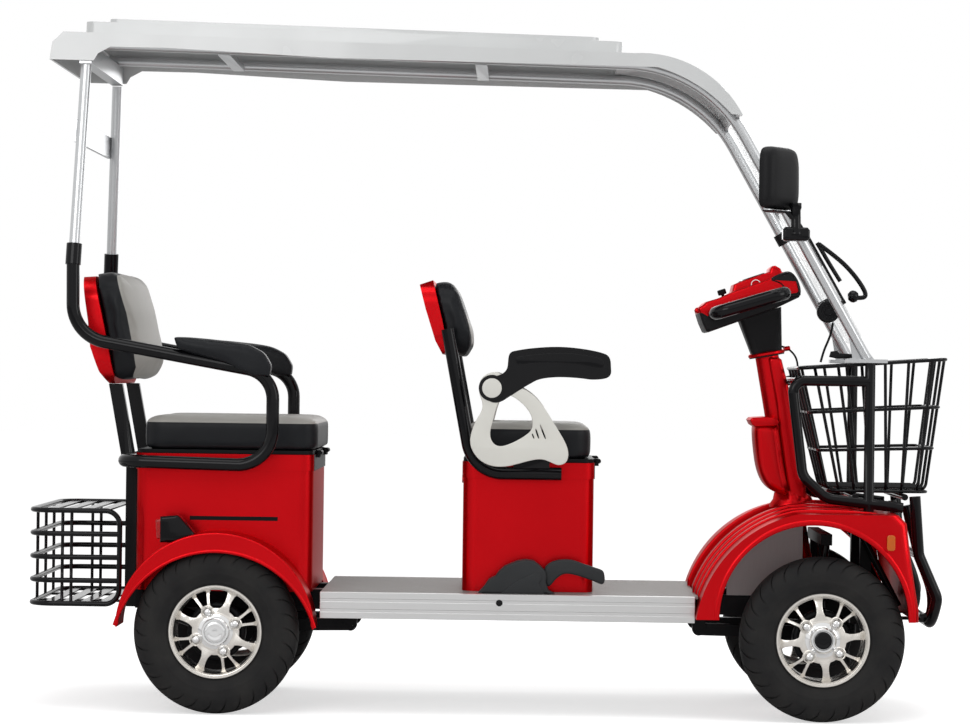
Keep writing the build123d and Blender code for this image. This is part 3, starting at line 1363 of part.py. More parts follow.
# Roof: a moulded pan with side skirts, a rounded front and two raised tiers, notched for the posts
# Each tier: start and end ahead of the roof's rear edge, half width and height above the pan
tiers = [
    (74, 1414, 222, 37),
    (125, 1357, 165, 52),
]
tier_corner = 26
# Shares of the roof's length from the rear, and of its front's drop below the roof line
roof_edge_shares = [(0, -0.17), (0.004, 0.06), (0.02, 0.2)]
roof_arc_shares = [(0.843, 0), (0.937, -0.2), (1, -0.8)]
roof_low_arc_shares = [(0.984, -0.79), (0.934, -0.41), (0.877, -0.18)]
roof_low_shares = [(0.405, -0.11), (0.172, -0.005), (0.088, 0.005), (0.07, -0.085), (0.064, -0.18),
    (0, -0.17)]
roof_rear_x = rear_axle_x - roof_rear_gap


def roof_place(share, inset=0):
    """Turns a share of the roof's length and front drop into a place in its side view, moved in and down."""
    x = roof_rear_x + inset + share[0] * (roof_length - 2 * inset)
    return (x, roof_line_z + share[1] * roof_front_drop - inset)


with BuildPart() as roof_shell:
    with BuildSketch(Plane.XZ):
        with BuildLine():
            Polyline(*[roof_place(s) for s in roof_edge_shares + roof_arc_shares[:1]])
            ThreePointArc(*[roof_place(s) for s in roof_arc_shares])
            Line(roof_place(roof_arc_shares[-1]), roof_place(roof_low_arc_shares[0]))
            ThreePointArc(*[roof_place(s) for s in roof_low_arc_shares])
            Polyline(*[roof_place(s) for s in roof_low_arc_shares[-1:] + roof_low_shares])
        make_face()
    extrude(amount=roof_half, both=True)
    # The tiers lie level with the roof's slope, each hollow like the pan
    tier_start_z = roof_place(roof_arc_shares[0])[1]
    tier_plane = Plane(
        origin=(roof_rear_x, 0, tier_start_z + roof_slope * roof_length * roof_arc_shares[0][0]),
        x_dir=(1, 0, -roof_slope), z_dir=(roof_slope, 0, 1),
    )
    for start, end, half, up in tiers:
        with BuildSketch(tier_plane.offset(-roof_wall)):
            with Locations(((start + end) / 2, 0)):
                RectangleRounded(end - start, 2 * half, tier_corner)
        extrude(amount=up + roof_wall)
    with BuildSketch(Plane.XZ):
        with BuildLine():
            Polyline(*[roof_place(s, roof_wall) for s in roof_edge_shares + roof_arc_shares[:1]])
            ThreePointArc(*[roof_place(s, roof_wall) for s in roof_arc_shares])
            Polyline(
                roof_place(roof_arc_shares[-1], roof_wall),
                (roof_place(roof_arc_shares[-1], roof_wall)[0], roof_line_z - 2 * roof_front_drop),
                (roof_place(roof_edge_shares[0], roof_wall)[0], roof_line_z - 2 * roof_front_drop),
                roof_place(roof_edge_shares[0], roof_wall),
            )
        make_face()
    extrude(amount=roof_half - roof_wall, both=True, mode=Mode.SUBTRACT)
    for start, end, half, up in tiers:
        with BuildSketch(tier_plane.offset(-2 * roof_wall)):
            with Locations(((start + end) / 2, 0)):
                RectangleRounded(end - start - 2 * roof_wall, 2 * (half - roof_wall),
                    tier_corner - roof_wall)
        extrude(amount=up + roof_wall, mode=Mode.SUBTRACT)
    with BuildLine() as post_line:
        FilletPolyline(*on_side(-post_y, roof_rail), radius=post_bend_r)
    with BuildSketch(Plane(origin=post_line.line @ 0, z_dir=post_line.line % 0)) as post_bore:
        Circle(post_d / 2 + seat_gap)
    with BuildPart(mode=Mode.PRIVATE) as post_room:
        sweep(post_bore.sketch, path=post_line.line)
        mirror(about=Plane.XZ)
    add(post_room.part, mode=Mode.SUBTRACT)
roof_shell.part.label = "roof_shell"
export_step(roof_shell.part, "parts/roof_shell.step")

# Windshield: a clear sheet on the front of the posts, and its wiper
glass_w = 3
glass_low = 40
glass_high = 775
glass_corner = 24
glass_plane = Plane(
    origin=(foot_x, 0, foot_z), x_dir=(0, 1, 0),
    z_dir=(cos(radians(post_rake)), 0, sin(radians(post_rake))),
).offset(post_d / 2 + seat_gap)
wiper_y = -90
wiper_up = 150
motor_r = 28
motor_h = 42
wiper_hole_r = 9
wiper_pivot_r = 6
wiper_arm_d = 8
wiper_blade = 210
wiper_out = 14
with BuildPart() as windshield:
    with BuildSketch(glass_plane):
        with Locations((0, (glass_low + glass_high) / 2)):
            RectangleRounded(2 * post_y, glass_high - glass_low, glass_corner)
        with Locations((wiper_y, wiper_up)):
            Circle(wiper_hole_r, mode=Mode.SUBTRACT)
    extrude(amount=glass_w)
windshield.part.label = "windshield"
export_step(windshield.part, "parts/windshield.step")

with BuildPart() as wiper:
    with BuildSketch(glass_plane.offset(-seat_gap)):
        with Locations((wiper_y, wiper_up)):
            Circle(motor_r)
    extrude(amount=-motor_h)
    with BuildSketch(glass_plane.offset(-motor_h / 2)):
        with Locations((wiper_y, wiper_up)):
            Circle(wiper_pivot_r)
    extrude(amount=motor_h / 2 + glass_w + wiper_out + wiper_arm_d / 2)
    arm_start = glass_plane.from_local_coords(Vector(wiper_y, wiper_up, glass_w + wiper_out))
    arm_end = glass_plane.from_local_coords(Vector(wiper_y, wiper_up + wiper_blade, glass_w + wiper_out))
    bar(tuple(arm_start), tuple(arm_end), wiper_arm_d)
    with BuildSketch(glass_plane.offset(glass_w + seat_gap)):
        with Locations((wiper_y, wiper_up + wiper_blade)):
            Rectangle(wiper_arm_d, wiper_blade)
    extrude(amount=wiper_out)
wiper.part.label = "wiper"
export_step(wiper.part, "parts/wiper.step")

# Mirrors: a clamp round the back of each front post, a bent stem and a rounded head
mirror_h = 160
mirror_w = 148
mirror_depth = 34
mirror_round = 40
clamp_h = 30
clamp_z = 1196
clamp_wall = 6
stem_d = 12
stem_up = 26
mirror_out = 350
mirror_in = 18
# Each mirror: side, how far out its head is, its height, its place ahead of the axle, its turn in degrees
mirror_places = [(-1, mirror_out, 1328, -126, 31), (1, mirror_out - mirror_in, 1372, -74, 8)]
with BuildPart() as mirrors:
    for side, head_y, head_z, head_x, turn in mirror_places:
        clamp_at = Vector(foot_x - (clamp_z - foot_z) * post_tan, side * post_y, clamp_z)
        post_up = Vector(-sin(radians(post_rake)), 0, cos(radians(post_rake)))
        with BuildSketch(Plane(origin=clamp_at, z_dir=post_up)):
            Circle(post_d / 2 + clamp_wall)
        extrude(amount=clamp_h)
        head_at = Vector(front_axle_x + head_x, side * head_y, head_z)
        stem_low = clamp_z + stem_up / 2
        bent([(clamp_at.X - stem_up / 4, side * (post_y + post_d / 2 + clamp_wall / 2), stem_low),
              (clamp_at.X - stem_up / 4, side * head_y, stem_low),
              (head_at.X, side * head_y, head_z - mirror_h / 3)], stem_up, stem_d)
        face_out = Vector(-cos(radians(turn)), -side * sin(radians(turn)), 0)
        with BuildSketch(Plane(origin=head_at - face_out * (mirror_depth / 2), x_dir=(0, 0, 1),
            z_dir=face_out)):
            RectangleRounded(mirror_h, mirror_w, mirror_round)
        extrude(amount=mirror_depth)
        # Bore for the post, open at the front where the windshield lies
        with BuildSketch(Plane(origin=clamp_at - post_up * clamp_h, z_dir=post_up)):
            Circle(post_d / 2 + seat_gap)
        extrude(amount=3 * clamp_h, mode=Mode.SUBTRACT)
        with BuildSketch(glass_plane.offset(-seat_gap)):
            with Locations((side * post_y, clamp_z - foot_z + clamp_h)):
                Rectangle(3 * post_d, 4 * post_d + 4 * clamp_h)
        extrude(amount=2 * clamp_wall + glass_w, mode=Mode.SUBTRACT)
mirrors.part.label = "mirrors"
export_step(mirrors.part, "parts/mirrors.step")

# Foot controls: the parking brake lever in its moulded cover, and the pedal on the foot slope
lever_back = 846
lever_length = 325
lever_y = 212
lever_w = 52
lever_h = 84
pedal_back = 270
pedal_z = 390
pedal_y = 150
pedal_w = 60
pedal_h = 34
pedal_depth = 46
# Shares of the lever cover's length and height
lever_shares = [(0, 0), (1, 0), (0.98, 0.35), (0.72, 0.9), (0.4, 1), (0.12, 0.82), (0.02, 0.5)]
with BuildPart() as foot_controls:
    with BuildSketch(Plane.XZ.offset(lever_y)):
        Polygon(*spread((front_axle_x - lever_back, deck_top + seat_gap), (lever_length, lever_h),
                        lever_shares), align=None)
    extrude(amount=lever_w)
    # Pedal block seated on the round foot slope
    with BuildSketch(Plane.XZ.offset(pedal_y - pedal_w / 2)):
        with Locations((front_axle_x - pedal_back, pedal_z)):
            Rectangle(pedal_depth, pedal_h, align=(Align.CENTER, Align.MIN))
        with Locations((front_axle_x, axle_z)):
            Circle(cowl_r + seat_gap, mode=Mode.SUBTRACT)
    extrude(amount=pedal_w)
foot_controls.part.label = "foot_controls"
export_step(foot_controls.part, "parts/foot_controls.step")
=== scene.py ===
# %% [markdown]
# # A roofed four-wheel electric scooter
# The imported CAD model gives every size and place. This script dresses it: it adds moulded
# panels, upholstery, tread and small fittings, and gives every surface a finish of its own.
# Everything is in metres, with +X forward, +Y to the vehicle's left and +Z up.

# %% Load the frame
import json
import math
import bpy
import bmesh
from mathutils import Matrix, Vector


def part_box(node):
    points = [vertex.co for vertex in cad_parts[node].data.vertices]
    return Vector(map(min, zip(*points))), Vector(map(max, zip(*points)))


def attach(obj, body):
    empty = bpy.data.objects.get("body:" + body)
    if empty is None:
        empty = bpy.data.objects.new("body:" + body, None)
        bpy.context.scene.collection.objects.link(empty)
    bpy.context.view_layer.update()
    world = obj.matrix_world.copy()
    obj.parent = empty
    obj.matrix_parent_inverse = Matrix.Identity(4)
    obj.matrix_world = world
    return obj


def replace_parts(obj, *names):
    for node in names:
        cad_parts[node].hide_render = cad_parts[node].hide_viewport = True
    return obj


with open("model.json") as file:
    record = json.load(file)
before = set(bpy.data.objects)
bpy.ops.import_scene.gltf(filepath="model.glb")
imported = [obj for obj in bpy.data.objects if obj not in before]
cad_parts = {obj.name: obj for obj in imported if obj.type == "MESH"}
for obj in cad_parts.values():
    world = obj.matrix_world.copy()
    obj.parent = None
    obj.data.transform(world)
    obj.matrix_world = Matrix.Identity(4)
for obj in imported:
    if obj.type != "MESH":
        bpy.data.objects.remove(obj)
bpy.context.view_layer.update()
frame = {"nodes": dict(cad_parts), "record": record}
nodes = frame["nodes"]
bodies = frame["record"]["behaviour"]["bodies"]
body_of = {node: body for body, members in bodies.items() for node in members}
MM = 0.001
SIDES = {"right": -1, "left": 1}
print("CAD nodes:", len(nodes), "bodies:", len(bodies))

# %% [markdown]
# ## The camera
# The photograph is a long-lens side view. Lines that run across the vehicle meet a little to the
# right of the picture's middle, which gives the camera's turn, and level lines fall slightly to
# the right, which gives its roll. Three vectors say the same without any angle conventions.

# %% Camera at the photograph's viewing angle
PHOTO_WIDTH = 970
FOCAL_PIXELS = 3022
CROSS_POINT = (38, -6)
ROLL = math.radians(0.75)
CAMERA_AT = Vector((0.081, -7.74, 0.8555))

side_share = CROSS_POINT[0] / FOCAL_PIXELS
right = Vector((math.cos(ROLL), side_share, math.sin(ROLL))).normalized()
up = Vector((-math.sin(ROLL), CROSS_POINT[1] / FOCAL_PIXELS, math.cos(ROLL)))
up = (up - up.dot(right) * right).normalized()
back = right.cross(up)
camera_data = bpy.data.cameras.new("camera")
camera_data.sensor_width = 36
camera_data.lens = camera_data.sensor_width * FOCAL_PIXELS / PHOTO_WIDTH
camera = bpy.data.objects.new("camera", camera_data)
bpy.context.scene.collection.objects.link(camera)
camera.matrix_world = Matrix.Translation(CAMERA_AT) @ Matrix((right, up, back)).transposed().to_4x4()
bpy.context.scene.camera = camera
bpy.context.scene.view_settings.view_transform = "Standard"
print("lens", round(camera_data.lens, 1), "mm")

# %% [markdown]
# ## Shader maths as plain Python
# A finish is a small sum: a noise, a mask, a colour between two others. One class wraps a node's
# output, so that sums of wires add Math nodes, and one method makes every other node.


# %% Wires and materials
class Wire:
    """One output of a shader node. Sums and products of wires add Math nodes."""

    def __init__(self, finish, socket):
        self.finish = finish
        self.socket = socket

    def maths(self, operation, *values):
        return self.finish.node("ShaderNodeMath", {"operation": operation}, values)

    def __add__(self, other):
        return self.maths("ADD", self, other)

    __radd__ = __add__

    def __mul__(self, other):
        return self.maths("MULTIPLY", self, other)

    __rmul__ = __mul__

    def __sub__(self, other):
        return self.maths("SUBTRACT", self, other)

    def __rsub__(self, other):
        return self.maths("SUBTRACT", other, self)

    def above(self, edge, soft):
        """A mask that rises from 0 to 1 over a soft edge."""
        return self.finish.node("ShaderNodeMapRange", {"clamp": True}, {"Value": self,
            "From Min": edge - soft, "From Max": edge + soft, "To Min": 0.0, "To Max": 1.0})


class Finish:
    """A material in the making: its nodes come from one method and its shader from another."""

    def __init__(self, name):
        self.material = bpy.data.materials.new(name)
        self.material.use_nodes = True
        self.tree = self.material.node_tree
        self.tree.nodes.clear()
        self.place = self.node("ShaderNodeTexCoord", {}, {}, "Object")

    def node(self, kind, settings=None, values=(), output=0):
        made = self.tree.nodes.new(kind)
        for key, value in (settings or {}).items():
            if key == "stops":
                ramp = made.color_ramp
                while len(ramp.elements) < len(value):
                    ramp.elements.new(0.5)
                for element, (at, colour) in zip(ramp.elements, value):
                    element.position = at
                    element.color = (*colour, 1)
            else:
                setattr(made, key, value)
        pairs = values.items() if isinstance(values, dict) else enumerate(values)
        for key, value in pairs:
            if isinstance(value, Wire):
                self.tree.links.new(value.socket, made.inputs[key])
            else:
                made.inputs[key].default_value = value
        return Wire(self, made.outputs[output])

    def moved(self, location=(0, 0, 0), turn=(0, 0, 0), scale=(1, 1, 1)):
        return self.node("ShaderNodeMapping", {"vector_type": "POINT"},
                         {"Vector": self.place, "Location": location, "Rotation": turn, "Scale": scale})

    def axis(self, letter, vector=None):
        return self.node("ShaderNodeSeparateXYZ", {}, {0: vector or self.place}, "XYZ".index(letter))

    def noise(self, scale, detail=4, stretch=(1, 1, 1)):
        return self.node("ShaderNodeTexNoise", {}, {"Vector": self.moved(scale=stretch), "Scale": scale,
                                                    "Detail": detail}, 0)

    def cells(self, scale, stretch=(1, 1, 1)):
        return self.node("ShaderNodeTexVoronoi", {"feature": "SMOOTH_F1"},
            {"Vector": self.moved(scale=stretch), "Scale": scale, "Smoothness": 0.6}, "Distance")

    def between(self, share, first, second):
        """A colour between two colours."""
        return self.node("ShaderNodeMix", {"data_type": "RGBA", "clamp_factor": True},
                         {0: share, 6: first if isinstance(first, Wire) else (*first, 1),
                          7: second if isinstance(second, Wire) else (*second, 1)}, 2)

    def bump(self, height, strength, distance):
        return self.node("ShaderNodeBump", {}, {"Strength": strength, "Distance": distance,
            "Height": height})

    def shade(self, colour, roughness, metallic=0.0, normal=None, **fixed):
        """Ends the material in one Principled shader. What is in fixed is the same all over."""
        shader = self.tree.nodes.new("ShaderNodeBsdfPrincipled")
        values = {"Base Color": colour, "Roughness": roughness, "Metallic": metallic}
        values.update({key.replace("_", " ").title().replace("Ior", "IOR"): value
                       for key, value in fixed.items()})
        for key, value in values.items():
            if isinstance(value, Wire):
                self.tree.links.new(value.socket, shader.inputs[key])
            elif isinstance(value, tuple) and len(value) == 3:
                shader.inputs[key].default_value = (*value, 1)
            else:
                shader.inputs[key].default_value = value
        if normal:
            self.tree.links.new(normal.socket, shader.inputs["Normal"])
        output = self.tree.nodes.new("ShaderNodeOutputMaterial")
        self.tree.links.new(shader.outputs[0], output.inputs["Surface"])
        return self.material


print("shader helpers ready")

# %% [markdown]
# ## Paint
# The red panels are a candy paint: a metallic base under a thin clear coat. Tiny cells stand for
# the flakes in the base and scatter its gloss a little, and a slow cloud keeps large panels from
# looking flat. The dark red tint keeps the reflections of the white room from turning pink.


# %% Candy red, white and black gloss
def candy_red(name):
    finish = Finish(name)
    flake = finish.cells(2600)
    cloud = finish.noise(5, 3)
    base = finish.between(cloud, (0.62, 0.006, 0.010), (0.48, 0.004, 0.007))
    return finish.shade(base, flake * 0.10 + 0.24, 0.82, coat_weight=0.06, coat_roughness=0.03,
                        specular_ior_level=0.2, specular_tint=(0.5, 0.04, 0.04))


def smooth_gloss(name, colour, roughness, coat=0.6, metallic=0.0, specular=0.5):
    """A sprayed or moulded gloss surface with a slight ripple and faint clouds in its colour."""
    finish = Finish(name)
    cloud = finish.noise(7, 3)
    darker = tuple(0.86 * part for part in colour)
    ripple = finish.bump(finish.noise(160, 2), 0.05, 0.0006)
    return finish.shade(finish.between(cloud, colour, darker), cloud * 0.08 + roughness - 0.04, metallic,
                        ripple, coat_weight=coat, coat_roughness=0.05, specular_ior_level=specular)


RED = candy_red("candy_red_paint")
WHITE = smooth_gloss("white_roof_gloss", (0.62, 0.63, 0.63), 0.26, 0.5)
BLACK_GLOSS = smooth_gloss("black_powder_coat", (0.004, 0.004, 0.005), 0.16, 0.16, 0.0, 0.10)
BLACK_SATIN = smooth_gloss("black_chassis_paint", (0.007, 0.007, 0.008), 0.42, 0.0, 0.0, 0.10)
BONE = smooth_gloss("armrest_frame_white", (0.72, 0.71, 0.66), 0.38, 0.2)
CHROME = smooth_gloss("bright_chrome", (0.82, 0.82, 0.82), 0.10, 0.0, 1.0)
print("paints made")

# %% [markdown]
# ## Metal, rubber, plastic and vinyl
# Drawn aluminium shows fine lines along its length, cast wheels show turned rings, moulded plastic
# has a fine grain, and vinyl has a leather grain with its cells a millimetre or two across. Each
# is a pattern on the piece's own coordinates, at the size that the real one has.


# %% Metals
def drawn_metal(name, colour, roughness, along="X", metallic=0.85):
    finish = Finish(name)
    stretch = tuple(0.02 if letter == along else 1.0 for letter in "XYZ")
    lines = finish.noise(900, 2, stretch)
    cloud = finish.noise(6, 3)
    darker = tuple(0.82 * part for part in colour)
    return finish.shade(finish.between(lines * 0.7 + cloud * 0.3, colour, darker),
        lines * 0.12 + roughness, metallic, finish.bump(lines, 0.06, 0.0004))


def turned_alloy(name, centre):
    """Machined wheel face: fine rings round the axle, a little warm, with a soft sheen."""
    finish = Finish(name)
    local = finish.moved(location=tuple(-part for part in centre))
    radius = finish.node("ShaderNodeVectorMath", {"operation": "LENGTH"}, (local,), "Value")
    rings = finish.node("ShaderNodeTexNoise", {"noise_dimensions": "1D"}, {"W": radius, "Scale": 900.0,
                                                                           "Detail": 2.0}, 0)
    stain = finish.noise(24, 3)
    base = finish.between(stain, (0.78, 0.75, 0.70), (0.62, 0.59, 0.55))
    return finish.shade(base, rings * 0.14 + 0.20, 1.0, finish.bump(rings, 0.10, 0.0003))


SILVER = drawn_metal("silver_post_paint", (0.60, 0.61, 0.62), 0.24, "Z", 0.92)
RAIL = drawn_metal("anodised_deck_rail", (0.66, 0.66, 0.66), 0.28)
DECK = drawn_metal("ribbed_deck_aluminium", (0.30, 0.29, 0.28), 0.42)
LINER = drawn_metal("grey_arch_liner", (0.42, 0.41, 0.41), 0.45, "Z", 0.3)
print("metals made")


# %% Rubber, moulded plastic and vinyl
def rubber(name):
    finish = Finish(name)
    dust = finish.noise(14, 5)
    fine = finish.noise(900, 2)
    base = finish.between(dust.above(0.5, 0.25), (0.013, 0.013, 0.014), (0.027, 0.026, 0.025))
    return finish.shade(base, dust * 0.12 + 0.56, 0.0, finish.bump(fine, 0.12, 0.0004),
        specular_ior_level=0.10)


def moulded(name, colour, roughness=0.46, grain=0.10):
    finish = Finish(name)
    dimple = finish.cells(1500)
    cloud = finish.noise(9, 3)
    darker = tuple(0.75 * part for part in colour)
    return finish.shade(finish.between(cloud, colour, darker), cloud * 0.10 + roughness, 0.0,
                        finish.bump(dimple, grain, 0.0003), specular_ior_level=0.12)


def vinyl(name, colour, panel=None):
    """Leathercloth. With panel, the part where the piece's attribute "panel" is above 0 has that pale colour: a
    painted sheen that stands for the grazing reflection off the black vinyl.
    """
    finish = Finish(name)
    grain = finish.cells(620) + finish.noise(260, 3) * 0.5
    crease = finish.noise(18, 4)
    base = finish.between(crease, colour, tuple(0.8 * part for part in colour))
    if panel:
        mark = finish.node("ShaderNodeAttribute", {"attribute_name": "panel"}, {}, "Fac")
        light = finish.between(crease, panel, tuple(0.9 * part for part in panel))
        base = finish.between(mark.above(0.0, 0.0006), base, light)
    return finish.shade(base, grain * 0.10 + 0.36, 0.0, finish.bump(grain, 0.22, 0.0005),
                        specular_ior_level=0.16)


RUBBER = rubber("tyre_rubber")
PLASTIC = moulded("black_moulded_plastic", (0.010, 0.010, 0.011), 0.40)
GREY_PLASTIC = moulded("dark_grey_plastic", (0.036, 0.038, 0.04), 0.5)
VINYL_BLACK = (0.009, 0.010, 0.012)
# Painted sheen: this grey stands for black vinyl, seen at a grazing angle, reflecting the pale room.
SHEEN_GREY = (0.36, 0.35, 0.325)
VINYL = vinyl("black_vinyl", VINYL_BLACK)
print("soft and moulded finishes made")


# %% Glass and lenses
def clear_sheet(name, colour, roughness, transmission, alpha=1.0):
    """Glass and lens plastic: only the colour and roughness carry a pattern."""
    finish = Finish(name)
    smear = finish.noise(30, 4)
    darker = tuple(0.93 * part for part in colour)
    return finish.shade(finish.between(smear, colour, darker), smear * 0.04 + roughness, 0.0,
                        transmission_weight=transmission, ior=1.45, alpha=alpha)


def mirror_glass(name):
    finish = Finish(name)
    smear = finish.noise(20, 3)
    return finish.shade(finish.between(smear, (0.75, 0.78, 0.80), (0.70, 0.73, 0.76)),
        smear * 0.03 + 0.03, 1.0)


GLASS = clear_sheet("windshield_clear", (0.88, 0.92, 0.92), 0.02, 0.9, 0.28)
MIRROR = mirror_glass("mirror_glass")
RED_LENS = clear_sheet("red_lens", (0.55, 0.01, 0.01), 0.12, 0.35)
AMBER_LENS = clear_sheet("amber_lens", (0.75, 0.16, 0.01), 0.14, 0.3)
print("glass and lenses made")

# %% [markdown]
# ## From CAD solids to moulded panels
# The CAD gives each panel the right shape with knife-sharp edges. A real moulding or pressing has
# rounded edges that catch a line of light. A copy of the node's mesh is merged, its flat faces
# are joined, and a Bevel modifier rounds only the edges that turn by more than a set angle.


# %% Helpers that make pieces
def finish_of(node):
    return next(part["material_slot"] for part in frame["record"]["subparts"] if part["node"] == node)


def piece(name, mesh, material, body, slot, smooth=38):
    """A finished mesh becomes a piece: named, shaded smooth up to an angle, and riding on a body."""
    made = bpy.data.objects.new(name, mesh)
    bpy.context.scene.collection.objects.link(made)
    if material:
        mesh.materials.clear()
        mesh.materials.append(material)
    mesh.shade_smooth()
    mesh.set_sharp_from_angle(angle=math.radians(smooth))
    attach(made, body)
    return made


def merged(node, join=True):
    """A copy of a CAD node's loose triangles as one closed skin."""
    skin = bmesh.new()
    skin.from_mesh(nodes[node].data)
    bmesh.ops.remove_doubles(skin, verts=skin.verts, dist=2e-5)
    if join:
        bmesh.ops.dissolve_limit(skin, angle_limit=math.radians(0.6), verts=skin.verts, edges=skin.edges)
    mesh = bpy.data.meshes.new(node + "_skin")
    skin.to_mesh(mesh)
    skin.free()
    mesh.materials.clear()
    return mesh


def plain(made):
    """Turns an object's live modifiers into plain mesh."""
    graph = bpy.context.evaluated_depsgraph_get()
    mesh = bpy.data.meshes.new_from_object(made.evaluated_get(graph))
    made.modifiers.clear()
    made.data = mesh
    return made


def soft_edges(made, width, segments=3, turn=32, miter="MITER_SHARP"):
    """Rounds the edges that turn by more than an angle, by a width in millimetres."""
    round_edges = made.modifiers.new("round_edges", "BEVEL")
    round_edges.width = width * MM
    round_edges.segments = segments
    round_edges.limit_method = "ANGLE"
    round_edges.angle_limit = math.radians(turn)
    round_edges.miter_outer = miter
    round_edges.harden_normals = True
    return plain(made)


def moulding(node, material, width, segments=3, turn=32):
    """The node's own shape with its edges rounded. It stands for the node."""
    made = piece("panel_" + node, merged(node), material, body_of[node], finish_of(node), turn)
    if width:
        soft_edges(made, width, segments, turn, "MITER_ARC")
    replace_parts(made, node)
    return made


def dressed(node, material):
    """The node keeps its own mesh and only gets a finish."""
    for place in nodes[node].material_slots:
        place.material = material


print("helpers ready")

# %% [markdown]
# ## The body panels and frames
# Large glossy mouldings get rounder edges than bent tubes, whose ends are only broken. Tubes keep
# the CAD's own curves: once merged they shade smoothly, so they need no new geometry.

# %% Panels with rounded edges
HINGE_REACH = 17.4
for node, material, width in (
    ("front_cowl", RED, 3.5), ("rear_fenders", RED, 1.6), ("rear_box", RED, 1.8), ("front_box", RED, 1.8),
    ("roof_shell", WHITE, 3.0),
    ("rear_backrest_shell", RED, 1.2), ("front_backrest_shell", RED, 1.2), ("deck_rails", RAIL, 0.8),
    ("arch_liners", LINER, 0.8), ("rear_lid", BLACK_SATIN, 0.8), ("front_lid", BLACK_SATIN, 0.8),
):
    made = moulding(node, material, width)
    if node in ("rear_box", "front_box"):
        made.data.materials.append(BLACK_SATIN)
        hinge_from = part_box(node)[1][0] - HINGE_REACH * MM
        for face in made.data.polygons:
            face.material_index = int(face.center.x > hinge_from)
print("panels made")

# %% Tubes, castings and posts
for node, material, width in (
    ("chassis_frame", BLACK_SATIN, 0.8), ("rear_seat_frame", BLACK_GLOSS, 0.6),
    ("front_seat_tubes", BLACK_GLOSS, 0.6), ("column_tube", RED, 0.6), ("steering_shaft", PLASTIC, 1.2),
    ("handle_loops", BLACK_GLOSS, 0.6), ("knuckle_right", BLACK_SATIN, 0.6), ("knuckle_left", BLACK_SATIN, 0.6),
    ("track_rod", BLACK_SATIN, 0.0), ("front_axle", BLACK_SATIN, 0.8), ("rear_axle", BLACK_SATIN, 0.8),
    ("dampers", BLACK_GLOSS, 0.4), ("basket_frame", BLACK_GLOSS, 0.0), ("bumper", BLACK_GLOSS, 0.0),
    ("roof_frame", SILVER, 0.8), ("rear_posts", SILVER, 0.6), ("rear_basket", BLACK_GLOSS, 0.0),
    ("front_basket", BLACK_GLOSS, 0.0), ("wiper", PLASTIC, 0.5),
):
    moulding(node, material, width, 2)
print("tubes made")

# %% Nodes that keep their own mesh
for node, material in (("deck_panel", DECK), ("battery", BLACK_SATIN), ("windshield", GLASS)):
    dressed(node, material)
print("plain nodes dressed")

# %% [markdown]
# ## Repeats with Geometry Nodes
# A tyre repeats one pitch of tread thirty times, a wheel its spokes four times, and bolts sit on
# many places. Each repeat is a small tree built here, with named inputs, and ends as plain mesh.


# %% A Geometry Nodes recipe
class Recipe:
    """A Geometry Nodes tree in the making. Its inputs have names, and grown() gives its mesh."""

    def __init__(self, name, inputs):
        self.tree = bpy.data.node_groups.new(name, "GeometryNodeTree")
        self.tree.interface.new_socket("Geometry", in_out="OUTPUT", socket_type="NodeSocketGeometry")
        self.names = {label: self.tree.interface.new_socket(label, in_out="INPUT",
            socket_type="NodeSocket" + kind).identifier for label, kind in inputs.items()}
        self.given = self.tree.nodes.new("NodeGroupInput").outputs

    def node(self, kind, settings=None, values=None):
        made = self.tree.nodes.new(kind)
        for key, value in (settings or {}).items():
            setattr(made, key, value)
        for key, value in (values or {}).items():
            if isinstance(value, bpy.types.NodeSocket):
                self.tree.links.new(value, made.inputs[key])
            else:
                made.inputs[key].default_value = value
        return made.outputs

    def end(self, instances, weld=True):
        solid = self.node("GeometryNodeRealizeInstances", {}, {0: instances})[0]
        if weld:
            solid = self.node("GeometryNodeMergeByDistance", {}, {"Geometry": solid,
                "Distance": 0.01 * MM})[0]
        coated = self.node("GeometryNodeSetMaterial", {}, {"Geometry": solid,
            "Material": self.given["Finish"]})[0]
        self.node("NodeGroupOutput", {}, {0: coated})

    def grown(self, **values):
        made = bpy.data.objects.new("repeat", bpy.data.meshes.new("repeat"))
        bpy.context.scene.collection.objects.link(made)
        modifier = made.modifiers.new("repeat", "NODES")
        modifier.node_group = self.tree
        for label, value in values.items():
            modifier[self.names[label]] = value
        mesh = bpy.data.meshes.new_from_object(made.evaluated_get(bpy.context.evaluated_depsgraph_get()))
        bpy.data.objects.remove(made)
        return mesh


ring = Recipe("copies_round_an_axle", {"Part": "Object", "Count": "Int", "First Turn": "Float",
    "Finish": "Material"})
full_turn = ring.node("ShaderNodeMath", {"operation": "DIVIDE"}, {0: -math.tau,
    1: ring.given["Count"]})[0]
index = ring.node("GeometryNodeInputIndex")[0]
turn = ring.node("ShaderNodeMath", {"operation": "MULTIPLY_ADD"}, {0: index, 1: full_turn,
    2: ring.given["First Turn"]})[0]
ring.end(ring.node("GeometryNodeInstanceOnPoints", {}, {
    "Points": ring.node("GeometryNodePoints", {}, {"Count": ring.given["Count"]})[0],
    "Instance": ring.node("GeometryNodeObjectInfo", {}, {"Object": ring.given["Part"]})["Geometry"],
    "Rotation": ring.node("ShaderNodeCombineXYZ", {}, {"Y": turn})[0],
})[0])


def pattern_part(name, mesh):
    """A part that a recipe repeats. It is hidden, because only its copies are shown."""
    made = bpy.data.objects.new(name, mesh)
    bpy.context.scene.collection.objects.link(made)
    made.hide_render = True
    made.hide_viewport = True
    return made


def skin_mesh(name, skin, outward=True):
    """Ends a bmesh: doubles merged, normals outward, as a mesh."""
    bmesh.ops.remove_doubles(skin, verts=skin.verts, dist=0.01 * MM)
    if outward:
        bmesh.ops.recalc_face_normals(skin, faces=skin.faces)
    mesh = bpy.data.meshes.new(name)
    skin.to_mesh(mesh)
    skin.free()
    return mesh


